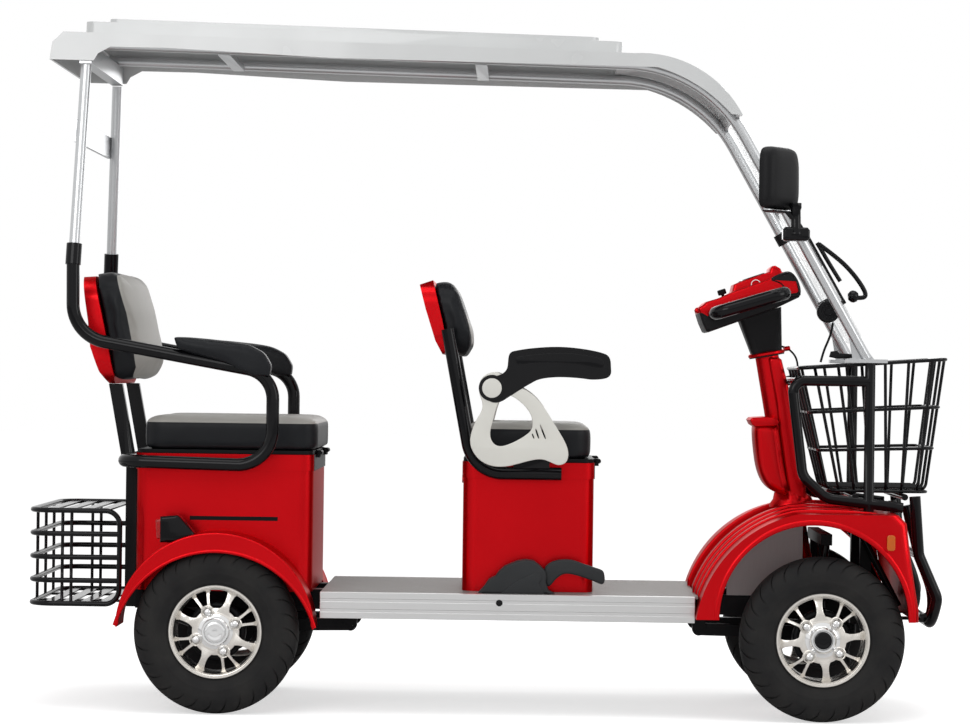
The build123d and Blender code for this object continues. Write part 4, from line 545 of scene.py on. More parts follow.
def lathe(skin, outline, steps):
    """Turns a closed outline of (radius, outward distance) in millimetres about the axle."""
    rings = []
    for step in range(steps):
        angle = math.tau * step / steps
        rings.append([skin.verts.new((r * MM * math.cos(angle), -d * MM, r * MM * math.sin(angle)))
                      for r, d in outline])
    for step, here in enumerate(rings):
        there = rings[(step + 1) % steps]
        for i in range(len(outline)):
            j = (i + 1) % len(outline)
            skin.faces.new((here[i], here[j], there[j], there[i]))


def together(name, meshes):
    """Several meshes as one, each keeping its own shape."""
    skin = bmesh.new()
    for mesh in meshes:
        skin.from_mesh(mesh)
    mesh = bpy.data.meshes.new(name)
    skin.to_mesh(mesh)
    skin.free()
    return mesh


print("recipes ready")

# %% [markdown]
# ## Tyres
# The tread has three grooves round the tyre and thirty sickle-shaped ones across each shoulder.
# One pitch is a strip of the tyre's skin whose columns lean along the sickle, so that the groove's
# edges are real edges. Copies of the strip meet exactly and are welded into one closed skin.

# %% One pitch of tread
PITCHES = 30
# Half of the tyre's section: radius, outward distance, sickle depth, lean as a share of a pitch
TYRE_HALF = [
    (104.5, 35.6, 0, 0.86), (112, 35.8, 0, 0.86), (117.5, 36.4, 0, 0.86), (120, 38.4, 0, 0.86),
    (123.5, 40.2, 0, 0.86), (126, 40.4, 0, 0.86), (128, 41.6, 0, 0.86), (134, 44.2, 0, 0.86),
    (140, 46.4, 0, 0.86), (143, 48.2, 0, 0.86), (145.5, 48.3, 0, 0.86), (148, 48.2, 0, 0.86),
    (154, 49.5, 0, 0.86), (161, 49.9, 0, 0.86), (167, 49.6, 0, 0.86), (174, 48.3, 1.4, 0.80),
    (181, 46.4, 2.8, 0.72), (187, 43.9, 3.8, 0.62), (192, 40.7, 4.6, 0.50), (196, 36.6, 5, 0.36),
    (199, 31.8, 5.4, 0.22), (200.9, 26.8, 5.4, 0.10), (201.9, 22, 4.4, 0.02), (202.3, 19.6, 0, 0),
    (197.4, 18.8, 0, 0), (197.4, 15.6, 0, 0), (202.6, 14.8, 0, 0), (202.9, 8, 0, 0),
    (203, 2.4, 0, 0), (198, 1.7, 0, 0),
]
# Places across a pitch, as shares, and whether each is at the bottom of the sickle
COLUMNS = [(0, 0), (0.2, 0), (0.39, 0), (0.435, 0), (0.46, 1), (0.54, 1), (0.565, 0), (0.61, 0), (0.8, 0),
    (1, 0)]

section = TYRE_HALF + [(r, -d, depth, lean) for r, d, depth, lean in reversed(TYRE_HALF)]
pitch_skin = bmesh.new()
strip = []
for i, (r, d, depth, lean) in enumerate(section):
    before, after = section[i - 1], section[(i + 1) % len(section)]
    along = Vector((after[0] - before[0], after[1] - before[1])).normalized()
    outward = Vector((-along.y, along.x)) if i else Vector((0, 0))
    row = []
    for share, bottom in COLUMNS:
        angle = math.tau / PITCHES * (share + lean)
        sunk = depth * bottom
        rr = (r - sunk * abs(outward.x)) * MM
        dd = (d - sunk * math.copysign(abs(outward.y), d)) * MM
        row.append(pitch_skin.verts.new((rr * math.cos(angle), -dd, rr * math.sin(angle))))
    strip.append(row)
for here, there in zip(strip, strip[1:] + strip[:1]):
    for i in range(len(COLUMNS) - 1):
        pitch_skin.faces.new((here[i], here[i + 1], there[i + 1], there[i]))
pitch = pattern_part("tread_pitch", skin_mesh("tread_pitch", pitch_skin, False))
print("one pitch:", len(pitch.data.polygons), "faces")

# %% Four tyres
WHEEL_PLACES = {"rear_right": 22.5, "rear_left": 22.5, "front_right": 51.5, "front_left": 51.5}


def wheel_middle(place):
    """The centre of a wheel, in metres."""
    low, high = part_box("tyre_" + place)
    return [(a + b) / 2 for a, b in zip(low, high)]


def on_wheel(name, mesh, place, slot, material=None, smooth=38, stands_for=None):
    """A copy of a mesh made at a right wheel's centre, moved to a wheel and riding on it."""
    copy = mesh.copy()
    if place.endswith("left"):
        copy.transform(Matrix.Rotation(math.pi, 4, "X"))
    copy.transform(Matrix.Translation(wheel_middle(place)))
    made = piece(name + "_" + place, copy, material, "wheel_" + place, slot, smooth)
    if stands_for:
        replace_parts(made, stands_for + place)
    return made


tyre_mesh = ring.grown(Part=pitch, Count=PITCHES, Finish=RUBBER)
check = bmesh.new()
check.from_mesh(tyre_mesh)
bmesh.ops.recalc_face_normals(check, faces=check.faces)
check.to_mesh(tyre_mesh)
check.free()
for place in WHEEL_PLACES:
    on_wheel("tyre_tread", tyre_mesh, place, "tyre_rubber", None, 30, "tyre_")
print("tyre:", len(tyre_mesh.polygons), "faces")

# %% [markdown]
# ## Wheels
# The rims are cast, then turned on a lathe: a bright stepped lip, a dished face of four broad
# spokes that flare into the hub, and a pair of slim ones at each nut. A spoke is a loft whose
# width follows a table, so its sides curve as a casting's do.


# %% Spokes
def spoke(skin, stations, angle_in, angle_out):
    """One spoke from the hub to the rim. stations: radius, half width, outward distance of its face."""
    r_in, r_out = stations[0][0], stations[-1][0]
    loops = []
    for r, half, face in stations:
        angle = math.radians(angle_in + (angle_out - angle_in) * (r - r_in) / (r_out - r_in))
        ray = Vector((math.cos(angle), 0, math.sin(angle)))
        side = Vector((-math.sin(angle), 0, math.cos(angle)))
        loop = []
        for across, drop in ((-0.82, 9), (-1, 2.6), (-0.94, 0.7), (-0.8, 0), (0, 0.2), (0.8, 0),
                (0.94, 0.7), (1, 2.6), (0.82, 9)):
            spot = ray * r + side * (across * half) - Vector((0, face - drop, 0))
            loop.append(skin.verts.new(spot * MM))
        loops.append(loop)
    for here, there in zip(loops, loops[1:]):
        for i in range(len(here)):
            j = (i + 1) % len(here)
            skin.faces.new((here[i], here[j], there[j], there[i]))
    skin.faces.new(loops[0])
    skin.faces.new(list(reversed(loops[-1])))


BROAD = [(38, 29, 27.6), (47, 22, 28.6), (54, 15.5, 29.4), (60, 11.4, 30), (67, 8.8, 30.2),
    (76, 7.8, 28.4), (86, 8.3, 25.2), (94, 9.6, 22.6), (99, 11.6, 21), (103, 15.5, 19.8)]
SLIM = [(46, 8, 28.4), (54, 6.4, 29.2), (62, 4.8, 29.9), (70, 4.0, 29.7), (80, 3.7, 27.2),
    (90, 3.9, 23.9), (97, 4.8, 21.6), (103, 7.6, 19.8)]
quarter_skin = bmesh.new()
spoke(quarter_skin, BROAD, 45, 45)
spoke(quarter_skin, SLIM, 5.5, 11)
spoke(quarter_skin, SLIM, -5.5, -11)
quarter = pattern_part("spoke_quarter", skin_mesh("spoke_quarter", quarter_skin))
print("a quarter of the spokes:", len(quarter.data.polygons), "faces")

# %% Barrel, hub, caps, drum and nuts
barrel_skin = bmesh.new()
lathe(barrel_skin, [(115, -41), (115, -36.4), (104, -36), (104, 36), (115, 36), (115, 39.6), (114, 41),
    (109.6, 41), (108.8, 40.2), (108.2, 39.2), (106.8, 38.8), (105.4, 37.2), (103, 32.5), (101.6, 24),
    (100.6, 8), (100, -36), (111, -41)], 120)
lathe(barrel_skin, [(20, 18), (56, 19.5), (58.5, 24), (58, 27.4), (56, 28.6), (42, 28.4), (36, 29.4),
    (33, 31), (20, 31)], 96)
barrel = skin_mesh("rim_barrel", barrel_skin)
NUT_CIRCLE_R = 52
boss_skin = bmesh.new()
lathe(boss_skin, [(12.6, 22), (12.6, 29.2), (13.4, 31.2), (14.8, 31.8), (16.4, 30.6), (17, 26), (17, 22)],
    40)
bmesh.ops.translate(boss_skin, verts=boss_skin.verts, vec=(NUT_CIRCLE_R * MM, 0, 0))
boss = pattern_part("nut_boss", skin_mesh("nut_boss", boss_skin))
nut_skin = bmesh.new()
lathe(nut_skin, [(0, 24), (11.4, 24), (11.4, 30), (10.2, 31), (9.8, 32), (9.9, 34.5), (9.2, 37.6),
    (7.4, 40.2), (4.6, 41.8), (1.6, 42.4), (0, 42.5)], 28)
bmesh.ops.translate(nut_skin, verts=nut_skin.verts, vec=(NUT_CIRCLE_R * MM, 0, 0))
nut = pattern_part("ball_nut", skin_mesh("ball_nut", nut_skin))
drum_skin = bmesh.new()
lathe(drum_skin, [(24, -33), (70, -33), (71.5, -30), (71.5, -2), (70, 1.6), (66, 4), (61, 4.8), (58, 3.2),
    (24, 3)], 72)
drum = skin_mesh("drum", drum_skin)


def hub_mesh(collar_r, cap_r):
    """The bright collar in the middle of a wheel, open for its cap."""
    skin = bmesh.new()
    lathe(skin, [(10, 24), (44, 27), (43, 29.6), (39, 30.4), (35, 32.4), (collar_r + 1.2, 36),
        (collar_r, 38.4), (collar_r, 43), (collar_r - 1, 44), (cap_r + 2.6, 44), (cap_r + 1.8, 43.2),
        (cap_r + 1.4, 41), (10, 41)], 72)
    return skin_mesh("hub", skin)


def cap_mesh(cap_r):
    """The domed cap that closes the hub."""
    skin = bmesh.new()
    lathe(skin, [(0, 40), (cap_r, 40), (cap_r, 46.4), (cap_r - 0.8, 48), (cap_r - 2.8, 49),
        (cap_r * 0.72, 49.3), (cap_r * 0.66, 48.8), (cap_r * 0.3, 49.4), (0, 49.6)], 56)
    return skin_mesh("cap", skin)


for place, nut_turn in WHEEL_PLACES.items():
    rear = place.startswith("rear")
    collar_r, cap_r = (33, 25) if rear else (29.5, 21.5)
    alloy = turned_alloy("turned_alloy_" + place, wheel_middle(place))
    first = -math.radians(nut_turn)
    copies = [ring.grown(Part=part, Count=4, Finish=alloy, **{"First Turn": first})
              for part in (quarter, boss)]
    on_wheel("rim_face", together("rim_face", [barrel] + copies), place, "alloy", alloy, 32, "rim_")
    nuts = ring.grown(Part=nut, Count=4, Finish=CHROME, **{"First Turn": first})
    on_wheel("rim_nuts", nuts, place, "alloy", CHROME, 40)
    on_wheel("rim_drum", drum, place, "dark_steel", BLACK_SATIN)
    on_wheel("rim_hub", hub_mesh(collar_r, cap_r), place, "alloy", CHROME, 40)
    on_wheel("rim_cap", cap_mesh(cap_r), place, "alloy", CHROME if rear else BLACK_GLOSS, 30)
print("wheels made")

# %% [markdown]
# ## Upholstery
# The cushions are foam in vinyl covers: crowned, with soft edges. A closed voxel skin of the CAD's
# block is blown up a little by a cloth simulation with pressure and no gravity. How far a point
# may move is capped, so the pad keeps its size. The pale grey on the cushion tops and the back
# pads' fronts is painted sheen: the grazing reflection of the black vinyl, put in as colour. It is a
# mask on an attribute, the distance of each point from the sheen's edge line, so its edge stays crisp.


# %% Padding by cloth simulation
MOMENTS = 20


def line_at(line, height):
    """Where a line of (x, z) points in millimetres stands at a height."""
    for (x0, z0), (x1, z1) in zip(line, line[1:]):
        if min(z0, z1) <= height <= max(z0, z1) and z0 != z1:
            return x0 + (x1 - x0) * (height - z0) / (z1 - z0)
    top, low = max(line, key=lambda spot: spot[1]), min(line, key=lambda spot: spot[1])
    return top[0] if height > top[1] else low[0]


def stuffed(node, material, swell, voxel=6.0, inset=3.0, soften=4, sheen_edge=None, crown=None):
    """The node's block as a padded piece. The function given for the sheen's edge gives a point's
    distance, in mm, from the edge of the pale grey painted sheen.
    crown moves a place, in mm, where the real pad is rounder than the block."""
    pad = piece("pad_" + node, merged(node, False), material, body_of[node], finish_of(node), 60)
    remesh = pad.modifiers.new("skin", "REMESH")
    remesh.mode = "VOXEL"
    remesh.voxel_size = voxel * MM
    shrink = pad.modifiers.new("shrink", "DISPLACE")
    shrink.strength = -inset * MM
    shrink.mid_level = 0.0
    soft = pad.modifiers.new("soften", "SMOOTH")
    soft.factor = 0.6
    soft.iterations = soften
    plain(pad)
    start = [point.co.copy() for point in pad.data.vertices]
    stuffing = pad.modifiers.new("stuffing", "CLOTH")
    stuffing.settings.quality = 4
    stuffing.settings.use_pressure = True
    stuffing.settings.uniform_pressure_force = 4
    stuffing.settings.effector_weights.gravity = 0
    stuffing.settings.tension_stiffness = 12
    stuffing.settings.compression_stiffness = 12
    stuffing.point_cache.frame_end = MOMENTS
    for moment in range(1, MOMENTS + 1):
        bpy.context.scene.frame_set(moment)
    plain(pad)
    for point, was in zip(pad.data.vertices, start):
        moved = point.co - was
        if moved.length > swell * MM:
            point.co = was + moved.normalized() * swell * MM
    bpy.context.scene.frame_set(1)
    smooth = pad.modifiers.new("even", "SMOOTH")
    smooth.factor = 0.5
    smooth.iterations = 3
    finer = pad.modifiers.new("finer", "SUBSURF")
    finer.levels = finer.render_levels = 1
    plain(pad)
    pad.data.materials.clear()
    pad.data.materials.append(material)
    pad.data.shade_smooth()
    for point in pad.data.vertices if crown else ():
        point.co = crown(point.co / MM) * MM
    # The pale grey painted sheen: each point gets its distance from the sheen's edge. Above 0, the grey stands
    # for the grazing reflection of the black vinyl.
    if sheen_edge:
        mark = pad.data.attributes.new("panel", "FLOAT", "POINT")
        for i, point in enumerate(pad.data.vertices):
            mark.data[i].value = sheen_edge(point.co / MM) * MM
    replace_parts(pad, node)
    return pad


# The rear back pad: where it starts to thin, over what depth, by how much, and more at its half width
CROWN_FROM, CROWN_DEPTH, THINNER, SIDE_DROP, PAD_HALF = 60, 115, 18, 37, 240
LIFT_FROM, LIFT_SHARE = 950, 0.12
# Black vinyl with a pale grey painted sheen for its grazing reflection, on the cushion tops and the back pads'
# fronts. The lines below give the sheen's edge on each back pad in the side view, as x and z.
VINYL_WITH_SHEEN = vinyl("two_tone_vinyl", VINYL_BLACK, SHEEN_GREY)
REAR_SHEEN_EDGE = [(-933, 1076), (-905, 985), (-892, 922), (-884, 880), (-880, 850), (-895, 813)]
FRONT_SHEEN_EDGE = [(-140, 1092), (-113, 1084), (-94, 1066), (-79, 1040), (-67, 1008), (-56, 966), (-49, 937),
    (-49, 908), (-57, 887), (-72, 876)]
rear_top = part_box("rear_cushion")[1][2] / MM
front_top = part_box("front_cushion")[1][2] / MM
# The painted sheen covers the top 13 mm of the rear cushion and the top 12 mm of the front one.
stuffed("rear_cushion", VINYL_WITH_SHEEN, 8, 7.5, sheen_edge=lambda spot: spot.z - (rear_top - 13))
stuffed("front_cushion", VINYL_WITH_SHEEN, 8, 7.5, sheen_edge=lambda spot: spot.z - (front_top - 12))


def rear_crown(spot):
    """The rear back pad is thinner than its block, most of all at its sides, and stands a little higher."""
    depth = min(1, max(0, (spot.x - line_at(REAR_SHEEN_EDGE, spot.z) + CROWN_FROM) / CROWN_DEPTH))
    lift = max(0, spot.z - LIFT_FROM) * LIFT_SHARE
    thinner = depth * (THINNER + SIDE_DROP * (spot.y / PAD_HALF) ** 2)
    return Vector((spot.x - thinner, spot.y, spot.z + lift))


stuffed("rear_backrest_pad", VINYL_WITH_SHEEN, 6, 6.5, sheen_edge=lambda spot: spot.x - line_at(REAR_SHEEN_EDGE, spot.z) + 3,
    crown=rear_crown)
stuffed("front_backrest_pad", VINYL_WITH_SHEEN, 6, 6.0, sheen_edge=lambda spot: spot.x - line_at(FRONT_SHEEN_EDGE, spot.z))
stuffed("rear_armrests", VINYL, 4, 4.4, 1.0, 6)
print("pads made")

# %% [markdown]
# ## Plates with flowing outlines
# The armrest frames and the brake lever's cover are flat mouldings with curved edges. A flat NURBS
# curve fills between its outlines, holes included, and gets a thickness and a rounded edge. Its
# control points are places on the real outline, so the curve flows between them.


# %% Plates from outlines
def plate(name, outlines, y, thickness, edge, material, body, slot, order=3):
    """A plate that stands in the side view: outlines of (x, z) in millimetres, its middle at y."""
    flat = bpy.data.curves.new(name, "CURVE")
    flat.dimensions = "2D"
    flat.fill_mode = "BOTH"
    flat.extrude = (thickness / 2 - edge) * MM
    flat.bevel_depth = edge * MM
    flat.offset = -edge * MM
    flat.bevel_resolution = 3
    flat.resolution_u = 5
    for outline in outlines:
        line = flat.splines.new("NURBS")
        line.points.add(len(outline) - 1)
        for point, (x, z) in zip(line.points, outline):
            point.co = (x * MM, z * MM, 0, 1)
        line.use_cyclic_u = True
        line.order_u = order
    holder = bpy.data.objects.new(name, flat)
    bpy.context.scene.collection.objects.link(holder)
    mesh = bpy.data.meshes.new_from_object(holder.evaluated_get(bpy.context.evaluated_depsgraph_get()))
    bpy.data.objects.remove(holder)
    mesh.transform(Matrix(((1, 0, 0, 0), (0, 0, -1, y * MM), (0, 1, 0, 0), (0, 0, 0, 1))))
    skin = bmesh.new()
    skin.from_mesh(mesh)
    mesh = skin_mesh(name, skin)
    return piece(name, mesh, material, body, slot, 40)


print("plates ready")

# %% Front armrests: frames, arms and pivots
ARM_OUTLINE = [(-6, 806), (4, 830), (28, 836), (43, 846), (50, 860), (51, 880), (53, 893), (62, 896),
    (102, 903), (168, 908), (229, 903), (280, 893), (290, 884), (291, 862), (292, 850), (284, 843),
    (251, 840), (226, 844), (168, 847), (119, 841), (96, 828), (76, 816), (44, 795), (22, 780), (0, 782)]
ARM_PANEL = [(62, 884), (66, 888), (102, 894), (168, 900), (229, 896), (272, 887), (279, 883), (280, 866),
    (274, 862), (226, 871), (168, 876), (102, 874), (70, 869), (64, 872)]
FRAME_OUT = [(56, 822), (78, 812), (103, 798), (128, 774), (149, 741), (170, 708), (190, 675), (197, 650),
    (192, 628), (172, 620), (152, 629), (130, 637), (103, 633), (66, 622), (40, 616), (9, 616),
    (-20, 628), (-39, 649), (-48, 672), (-46, 697), (-34, 730), (-19, 753), (-17, 772), (-26, 794),
    (-28, 814), (-22, 834), (-5, 847), (16, 851), (37, 840)]
FRAME_HOLE = [(36, 793), (52, 792), (68, 783), (86, 768), (101, 748), (107, 728), (105, 707), (84, 690),
    (59, 676), (33, 666), (16, 668), (4, 681), (1, 702), (9, 731), (14, 753), (22, 776)]
SLITS = [
    [(104, 698), (107, 699), (112, 687), (109, 686)],
    [(112, 711), (116, 711), (124, 687), (120, 686)],
    [(123, 721), (127, 721), (141, 686), (137, 685)],
]
PIVOT = (5, 810)


def circle(x, z, radius, count=24):
    """A round outline for a plate."""
    turns = [math.tau * i / count for i in range(count)]
    return [(x + radius * math.cos(turn), z + radius * math.sin(turn)) for turn in turns]


for place, side in SIDES.items():
    low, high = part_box("armrest_" + place)
    inner, outer = sorted((abs(low[1] / MM), abs(high[1] / MM)))
    middle = side * (inner + outer) / 2
    arm = plate("arm_" + place, [ARM_OUTLINE, circle(*PIVOT, 11, 16)], middle, outer - inner, 7, PLASTIC,
                place + "_armrest", "black_plastic")
    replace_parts(arm, "armrest_" + place)
    plate("arm_inlay_" + place, [ARM_PANEL], side * (outer - 1.2), 4, 1.6, BLACK_GLOSS,
        place + "_armrest", "black_plastic")
    plate("arm_eye_" + place, [circle(*PIVOT, 33), circle(*PIVOT, 24)], middle, outer - inner + 2, 2,
        PLASTIC, place + "_armrest", "black_plastic")
    plate("arm_button_" + place, [circle(*PIVOT, 24.5)], side * (outer - 1.8), 6, 1.6, BONE,
        place + "_armrest", "frame_white")
frame_low, frame_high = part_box("armrest_frames")
frame_y = max(abs(frame_low[1]), abs(frame_high[1])) / MM
for place, side in SIDES.items():
    made = plate("arm_frame_" + place, [FRAME_OUT, FRAME_HOLE] + SLITS, side * (frame_y - 4.4), 8.4, 2.2,
                 BONE, body_of["armrest_frames"], "frame_white")
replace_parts(made, "armrest_frames")
print("front armrests made")

# %% Brake lever, its cover and the pedal
COVER = [(-24, 300), (-22, 304), (-9, 318), (3, 336), (20, 345), (27, 356), (43, 370), (74, 383),
    (95, 386), (114, 383), (130, 371), (143, 358), (146, 346), (145, 330), (151, 311), (166, 303),
    (168, 300)]
COVER_STEP = [(30, 300), (36, 304), (65, 328), (90, 342), (117, 354), (130, 352), (135, 340), (128, 326),
    (140, 303), (142, 300)]
LEVER = [(138, 366), (157, 382), (185, 388), (210, 387), (234, 378), (266, 368), (286, 362), (290, 350),
    (291, 335), (285, 325), (266, 333), (250, 339), (219, 349), (195, 353), (179, 347), (167, 336),
    (158, 324), (149, 318), (142, 330)]
low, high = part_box("foot_controls")
cover_y = min(low[1], high[1]) / MM
cover = plate("brake_cover", [COVER], cover_y + 26, 52, 6, GREY_PLASTIC, "scooter_body", "black_plastic",
    2)
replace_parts(cover, "foot_controls")
plate("brake_cover_step", [COVER_STEP], cover_y + 2, 8, 2.5, GREY_PLASTIC, "scooter_body",
    "black_plastic", 2)
plate("brake_lever", [LEVER], cover_y + 22, 22, 6, GREY_PLASTIC, "scooter_body", "black_plastic")
print("foot controls made")

# %% [markdown]
# ## Turned parts, rods and loose islands
# Knobs, collars and bolts are turned outlines. Rods and pipes are bevelled curves. Where a CAD node
# holds several solids, such as a lens and its housing, each can become a piece with its own finish.


# %% More helpers
def turned(name, outline, foot, axis, material, body, slot, steps=40, smooth=35):
    """Turns an outline of (radius, height) in millimetres about an axis that starts at foot."""
    skin = bmesh.new()
    lathe(skin, outline, steps)
    mesh = skin_mesh(name, skin)
    spin = Vector((0, -1, 0)).rotation_difference(Vector(axis).normalized()).to_matrix().to_4x4()
    mesh.transform(Matrix.Translation(Vector(foot) * MM) @ spin)
    return piece(name, mesh, material, body, slot, smooth)


def rod(name, points, radius, material, body, slot, closed=False):
    """A round bar or pipe along a smooth line of places in millimetres."""
    line = bpy.data.curves.new(name, "CURVE")
    line.dimensions = "3D"
    line.bevel_depth = radius * MM
    line.bevel_resolution = 3
    line.resolution_u = 8
    line.use_fill_caps = True
    spline = line.splines.new("NURBS")
    spline.points.add(len(points) - 1)
    for point, place in zip(spline.points, points):
        point.co = (*(Vector(place) * MM), 1)
    spline.use_cyclic_u = closed
    spline.use_endpoint_u = not closed
    spline.order_u = 3
    holder = bpy.data.objects.new(name, line)
    bpy.context.scene.collection.objects.link(holder)
    mesh = bpy.data.meshes.new_from_object(holder.evaluated_get(bpy.context.evaluated_depsgraph_get()))
    bpy.data.objects.remove(holder)
    return piece(name, mesh, material, body, slot, 50)


def islands(node, keep):
    """The solids of a node whose middle passes a test, as one mesh."""
    skin = bmesh.new()
    skin.from_mesh(merged(node))
    left = set(skin.verts)
    while left:
        group, front = set(), [next(iter(left))]
        while front:
            vert = front.pop()
            if vert not in group:
                group.add(vert)
                front += [edge.other_vert(vert) for edge in vert.link_edges]
        left -= group
        middle = sum((vert.co for vert in group), Vector()) / len(group) / MM
        if not keep(middle):
            bmesh.ops.delete(skin, geom=list(group), context="VERTS")
    mesh = bpy.data.meshes.new(node + "_part")
    skin.to_mesh(mesh)
    skin.free()
    return mesh


# Bodies with material slots that come again
TRIM = ("scooter_body", "black_plastic")
STEERED_RED = ("steering", "red_paint")
STEERED_BLACK = ("steering", "black_plastic")
STEERED_METAL = ("steering", "silver_metal")
COLUMN_RED = (body_of["column_cover"], "red_paint")
COWL_RED = (body_of["front_cowl"], "red_paint")
FENDER_RED = (body_of["rear_fenders"], "red_paint")
print("more helpers ready")

# %% [markdown]
# ## Console and column
# The console is a stack of mouldings: a black tray, a red body with a faceted deck on top, and a
# black nose. Each is a plate whose outline was measured in the side view. The column's channel is
# a plate too, and the bottle pocket on it is a bag-shaped moulding with a lip.

# %% Console
TRAY = [(525, 1004), (528, 1010), (560, 1012), (640, 1040), (740, 1072), (778, 1066), (781, 1056),
    (776, 1048), (719, 1020), (633, 988), (549, 957), (543, 959), (533, 980)]
CONSOLE_BODY = [(525, 1006), (522, 1016), (526, 1022), (533, 1025), (542, 1034), (577, 1045), (614, 1063),
    (690, 1090), (745, 1112), (762, 1106), (774, 1090), (780, 1062), (770, 1056), (700, 1046),
    (640, 1024), (572, 1000), (545, 994)]
DECK_TOP = [(606, 1050), (611, 1066), (614, 1080), (634, 1089), (694, 1110), (704, 1113), (706, 1122),
    (711, 1128), (718, 1129), (731, 1122), (735, 1113), (750, 1112), (758, 1100), (700, 1072)]
NOSE = [(700, 1086), (704, 1096), (722, 1106), (748, 1116), (764, 1107), (777, 1085), (782, 1060),
    (776, 1049), (752, 1046), (738, 1062), (728, 1080)]
made = plate("console_tray", [TRAY], 0, 196, 8, PLASTIC, *STEERED_BLACK, 2)
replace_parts(made, "console")
plate("console_body", [CONSOLE_BODY], 0, 198, 7, RED, *STEERED_RED, 2)
plate("console_deck", [DECK_TOP], 0, 128, 6, RED, *STEERED_RED, 2)
plate("console_nose", [NOSE], 0, 200, 7, BLACK_GLOSS, *STEERED_BLACK, 3)
turned("speed_knob", [(0, 0), (4, 0), (4, 10), (10, 10.5), (11, 13), (11, 22), (9.5, 24), (0, 24)],
    (590, -40, 1044), (-0.32, 0, 0.95), PLASTIC, *STEERED_BLACK)
turned("key_switch", [(0, 0), (9, 0), (9, 5), (7.5, 7), (4.5, 7.4), (0, 7.4)], (640, 40, 1086),
    (-0.32, 0, 0.95), CHROME, *STEERED_METAL)
turned("horn_button", [(0, 0), (7, 0), (7, 6), (6, 10), (3, 12), (0, 12.4)], (527, -62, 1012),
    (-0.9, 0, 0.1), RED, *STEERED_RED)
turned("speed_dial", [(0, 0), (30, 0), (31, 3), (29, 5), (26, 3.4), (0, 3.2)], (668, 0, 1098),
    (-0.33, 0, 0.94), BLACK_GLOSS, *STEERED_BLACK)
print("console made")

# %% Column
COLUMN_LEAN = math.radians(10)
COLUMN_FOOT_X, COLUMN_FOOT_Z = 824, 220.5
COLUMN_UP = (-math.sin(COLUMN_LEAN), 0, math.cos(COLUMN_LEAN))


def on_column(reach):
    """A place on the column's axis, a reach in millimetres above its foot."""
    return (COLUMN_FOOT_X + reach * COLUMN_UP[0], 0, COLUMN_FOOT_Z + reach * COLUMN_UP[2])


CHANNEL = [(706, 890), (710, 896), (731, 896), (738, 890), (741, 878), (757, 818), (762, 788), (790, 661),
    (807, 538), (803, 530), (770, 529), (764, 534), (746, 640), (733, 726), (728, 777)]
POCKET = [(671, 728), (671, 700), (675, 656), (683, 606), (702, 567), (738, 546), (764, 548), (750, 600),
    (738, 680), (731, 728)]
POCKET_LIP = [(658, 736), (664, 742), (700, 745), (724, 741), (732, 732), (728, 722), (672, 719),
    (664, 724)]
made = plate("column_channel", [CHANNEL], 0, 80, 8, RED, *COLUMN_RED, 2)
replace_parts(made, "column_cover")
plate("column_channel_rib", [[(x + 3, z) for x, z in CHANNEL]], 0, 44, 5, RED, *COLUMN_RED, 2)
plate("column_pocket", [POCKET], 0, 132, 18, RED, *COLUMN_RED)
plate("column_pocket_lip", [POCKET_LIP], 0, 144, 4, RED, *COLUMN_RED, 2)
turned("column_foot", [(0, 0), (56, 0), (54, 8), (44, 18), (38, 34), (0, 34)], on_column(308), COLUMN_UP,
    RED, *COLUMN_RED)
turned("column_collar", [(24, 0), (44, 0), (47, 2.5), (47, 7.5), (44, 10), (34, 11), (32, 17), (26, 20),
    (24, 20)], on_column(690), COLUMN_UP, RED, *STEERED_RED)
for side in (-1, 1):
    turned("collar_bolt_%d" % (side + 1), [(0, 0), (6, 0), (6, 12), (4, 14), (0, 14)],
        (748, side * 20, 918), (0.98, 0, 0.17), RED, *STEERED_RED)
print("column made")

# %% Keys on their ring
KEY_OUT = 78
turned("key_ring", [(10.6, -0.9), (12.4, -0.9), (12.4, 0.9), (10.6, 0.9)], (668, -KEY_OUT, 1080),
    (0.1, 1, 0), CHROME, *STEERED_METAL)
KEY = [(664, 1074), (672, 1074), (676, 1064), (673, 1054), (670, 1050), (670, 1022), (667, 1020),
    (665, 1050), (661, 1055), (660, 1064)]
for i, shift in enumerate((-6, 10)):
    plate("key_%d" % i, [[(x + shift, z - 4) for x, z in KEY]], -KEY_OUT - 3 * i, 2, 0.5, CHROME,
        *STEERED_METAL, 2)
print("keys made")

# %% [markdown]
# ## Lamps, mirrors and wiper
# Each tail lamp is a black housing with a red lens, and the nose carries small amber lenses. A
# mirror is a shell lofted through rounded loops, with the glass set into its rim.

# %% Lamps
LAMP = [(-806, 484), (-764, 488), (-758, 484), (-722, 444), (-722, 420), (-806, 420)]
LENS = [(-818, 476), (-797, 480), (-797, 430), (-814, 428)]
LAMP_OUT, NOSE_FROM = 300, 400
for place, side in SIDES.items():
    lens = plate("tail_lens_" + place, [LENS], side * LAMP_OUT, 44, 4, RED_LENS, body_of["lamps"],
        "lamp_plastic", 2)
    housing = plate("tail_housing_" + place, [LAMP], side * LAMP_OUT, 54, 7, BLACK_GLOSS,
        body_of["lamps"], "black_plastic", 2)
marker = piece("side_marker", islands("lamps", lambda middle: middle.x >= NOSE_FROM), AMBER_LENS,
    body_of["lamps"], "lamp_plastic")
soft_edges(marker, 2)
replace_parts(housing, "lamps")
print("lamps:", len(lens.data.polygons), len(housing.data.polygons), len(marker.data.polygons))


# %% Mirror heads
LOOP_POINTS, TAPER = 40, 0.06
# Loops of the shell: distance ahead of the middle, half width, half height, and the corners' share
SHELL_LOOPS = [(15.4, 67, 69, 0.3), (17, 69, 71, 0.3), (16.4, 73, 75, 0.3), (12, 74, 76, 0.3),
    (2, 74, 76, 0.32), (-9, 70, 72, 0.36), (-15, 62, 64, 0.42), (-18, 44, 46, 0.5), (-18.6, 16, 18, 0.6)]
GLASS_LOOPS = [(13.6, 65, 71, 0.42), (15.8, 65, 71, 0.42)]


